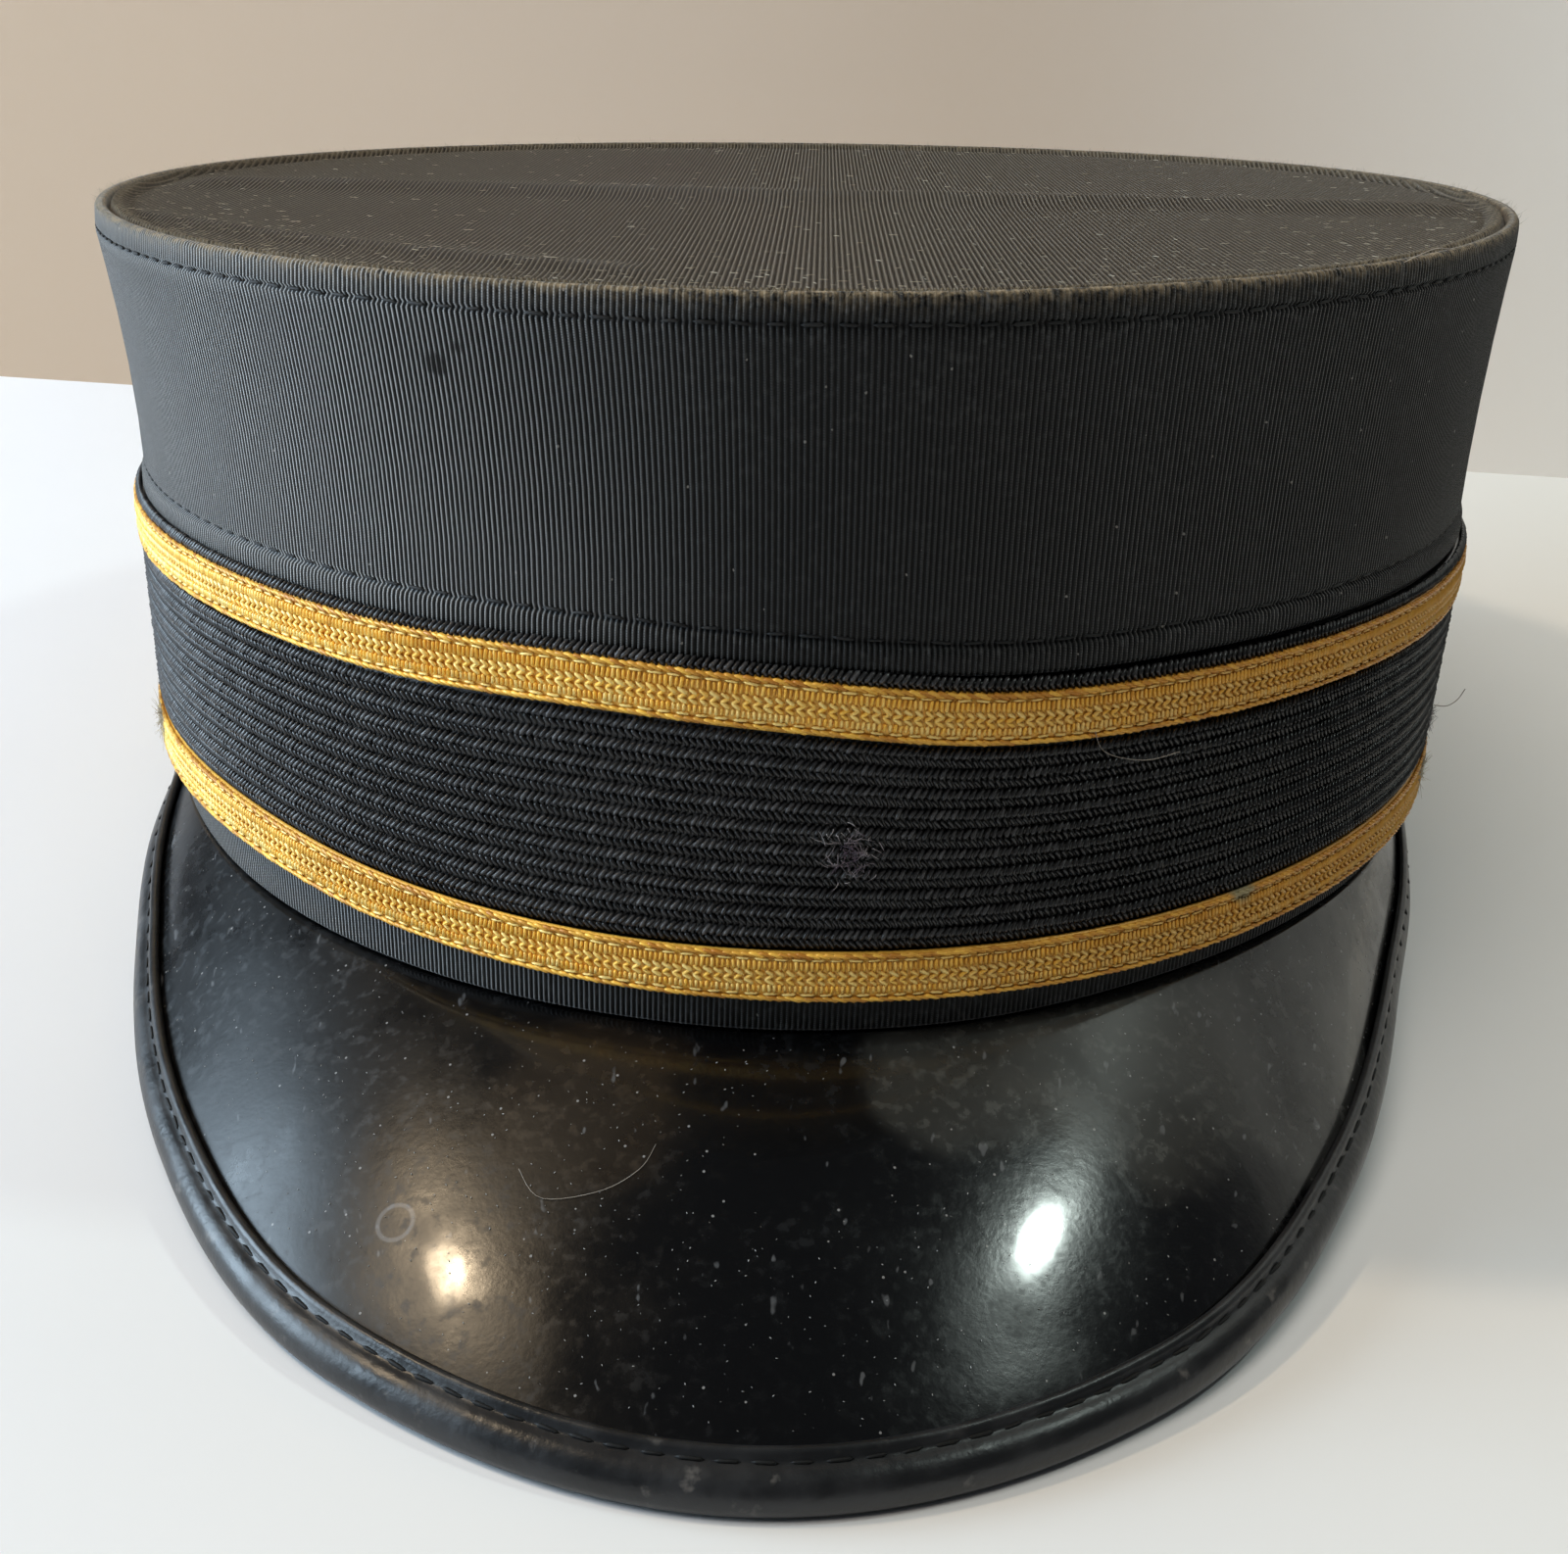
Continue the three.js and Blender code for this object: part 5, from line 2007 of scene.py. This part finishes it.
@dataclass(frozen=True)
class Lamp:
    """An area lamp: where it stands and what it faces in the frame, in metres, and its light."""

    name: str
    place: Point
    size: tuple[float, float]
    power: float
    colour: Colour
    target: Point = (0.0, -0.02, 0.03)
    mirrored: bool = True
    shape: str = "ELLIPSE"

    def light(self) -> None:
        """Adds the lamp to the scene, unseen by the camera."""
        data = bpy.data.lights.new(self.name, "AREA")
        data.shape, data.size, data.size_y = self.shape, *self.size
        data.energy, data.color = self.power, self.colour
        lamp = bpy.data.objects.new(self.name, data)
        lamp.location = self.place
        facing = Vector(self.target) - Vector(self.place)
        lamp.rotation_euler = facing.to_track_quat("-Z", "Y").to_euler()
        lamp.visible_camera = False
        lamp.visible_glossy = self.mirrored
        bpy.context.scene.collection.objects.link(lamp)


LAMPS = (
    Lamp("window", (-0.886, -0.05, 0.30), (0.6, 0.5), 11.5, (0.66, 0.84, 1.0), shape="RECTANGLE"),
    Lamp("warm_lamp", (-0.853, -0.08, 1.145), (0.10, 0.10), 4.6, (1.0, 0.78, 0.52)),
    Lamp("cool_lamp", (0.747, -0.105, 1.213), (0.12, 0.12), 2.4, (0.86, 1.0, 0.94)),
    Lamp("room", (-0.25, -0.50, 1.20), (0.7, 0.7), 6.8, (1.0, 0.94, 0.86), (0.0, 0.05, 0.05), mirrored=False),
)


@dataclass(frozen=True)
class Paint:
    """A matt paint whose colour changes from left to right, with a faint mottle."""

    name: str
    left: Colour
    middle: Colour
    right: Colour
    one_sided: bool = False
    mottle: Colour = (0.30, 0.30, 0.31)
    to_middle: Span = Span(-0.22, 0.02)
    to_right: Span = Span(0.02, 0.24)

    def material(self) -> bpy.types.Material:
        """The paint's material; the back of a one-sided paint is clear."""
        r = Recipe(self.name)
        place = r.place()
        tint = r.mix(r.over(place, 0, self.to_middle), self.left, self.middle)
        tint = r.mix(r.over(place, 0, self.to_right), tint, self.right)
        tint = r.mix(r.math("MULTIPLY", r.noise(place, 9.0, 3.0), 0.12), tint, self.mottle)
        surface = {"Base Color": tint, "Roughness": 0.6, "Specular IOR Level": 0.3}
        shader = r.add("ShaderNodeBsdfPrincipled", surface)
        if self.one_sided:
            clear = r.add("ShaderNodeBsdfTransparent")
            back = r.add("ShaderNodeNewGeometry", out="Backfacing")
            shader = r.add("ShaderNodeMixShader", {0: back, 1: shader, 2: clear})
        return r.end(shader)


@dataclass(frozen=True)
class Stage:
    """A pale table, a plain wall behind it, the lamps and the camera; sizes in millimetres."""

    kit: Kit
    table_reach: float = 1800.0
    # The table is painted bluish towards the left, where the window lamp's cool light falls, and warmer
    # towards the right: a painted light tint on an otherwise even pale table.
    table_paint_and_light: Paint = Paint("table_top", (0.82, 0.86, 0.94), (0.81, 0.81, 0.81), (0.83, 0.83, 0.80))
    wall_y: float = 207.0
    wall_slope: float = -0.092
    wall_ends: tuple[float, float] = (-330.0, 850.0)
    wall_foot: float = -1.0
    wall_height: float = 1150.0
    # The wall's colour turns much paler towards the right to make up for the lamps' weaker light there:
    # painted light, over its warm paint colour.
    wall_paint: Paint = Paint("wall_paint", (0.50, 0.37, 0.26), (0.60, 0.47, 0.36), (0.96, 0.93, 0.88), True)
    glow: float = 0.06
    glow_tint: Colour = (0.80, 0.88, 1.0)
    camera_place: Point = (0.7, -309.3, 149.6)
    camera_turn: Point = (-24.6, -2.15, 0.3)
    lens: float = 54.0
    film_width: float = 36.0

    def build(self) -> None:
        """Sets up all of it."""
        self.surfaces()
        for lamp in LAMPS:
            lamp.light()
        self.world()
        self.camera()

    def surfaces(self) -> None:
        """The table and the wall, whose back lets the view through."""
        square = np.array([[-1, -1, 0], [1, -1, 0], [1, 1, 0], [-1, 1, 0]])
        table = self.surface("table", square * self.table_reach * MM, self.table_paint_and_light)
        left, right = ((x, self.wall_y + self.wall_slope * x) for x in self.wall_ends)
        low, high = self.wall_foot, self.wall_height
        corners = np.array([(*left, low), (*right, low), (*right, high), (*left, high)])
        wall = self.surface("wall", self.kit.cap.in_frame(corners), self.wall_paint)
        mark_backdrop(table, wall)

    @staticmethod
    def surface(name: str, corners: Array, paint: Paint) -> Piece:
        """A painted flat surface with four corners, given in metres."""
        piece = add_piece(name, make_mesh(name, corners, [[0, 1, 2, 3]], {}))
        piece.data.materials.append(paint.material())
        return piece

    def world(self) -> None:
        """A dim, even room, and plain colours."""
        world = bpy.data.worlds.new("room")
        world.use_nodes = True
        back = world.node_tree.nodes["Background"]
        back.inputs["Color"].default_value = (*self.glow_tint, 1.0)
        back.inputs["Strength"].default_value = self.glow
        scene = bpy.context.scene
        scene.world = world
        scene.view_settings.view_transform = "Standard"
        scene.view_settings.look = "None"

    def camera(self) -> None:
        """The camera, a little above the peak and in front of it."""
        down, roll, yaw = (math.radians(angle) for angle in self.camera_turn)
        turn = Matrix.Rotation(yaw, 3, "Z") @ Matrix.Rotation(down, 3, "X") @ Matrix.Rotation(roll, 3, "Y")
        right, forward, up = turn.col
        data = bpy.data.cameras.new("camera")
        data.lens, data.sensor_width = self.lens, self.film_width
        data.clip_start, data.clip_end = 0.01, 20.0
        camera = bpy.data.objects.new("camera", data)
        place = self.kit.cap.in_frame(np.array(self.camera_place))
        columns = Matrix((right, up, -forward)).transposed()
        camera.matrix_world = Matrix.Translation(Vector(place.tolist())) @ columns.to_4x4()
        bpy.context.scene.collection.objects.link(camera)
        bpy.context.scene.camera = camera


# ---------------------------------------------------------------- assembly


def write_sizes() -> None:
    """Gathers the CAD's box and the dressed cap's box as lists of numbers, and does nothing more with them.
    """
    boxes = {"cad": CAD_BOX, "dressed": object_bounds()}
    sizes = {name: [[float(x) for x in corner] for corner in box] for name, box in boxes.items()}


def main() -> None:
    """Builds the cap's sub-assemblies in order, then its setting."""
    logging.basicConfig(level=logging.INFO, format="%(name)s: %(message)s")
    kit = Kit()
    Crown(kit).build()
    Trim(kit).build()
    Visor(kit).build()
    Sewing(kit).build()
    log.info("all pieces: %d triangles", kit.triangles)
    Stage(kit).build()
    bpy.data.objects.remove(kit.thread)
    write_sizes()


if __name__ == "__main__":
    main()
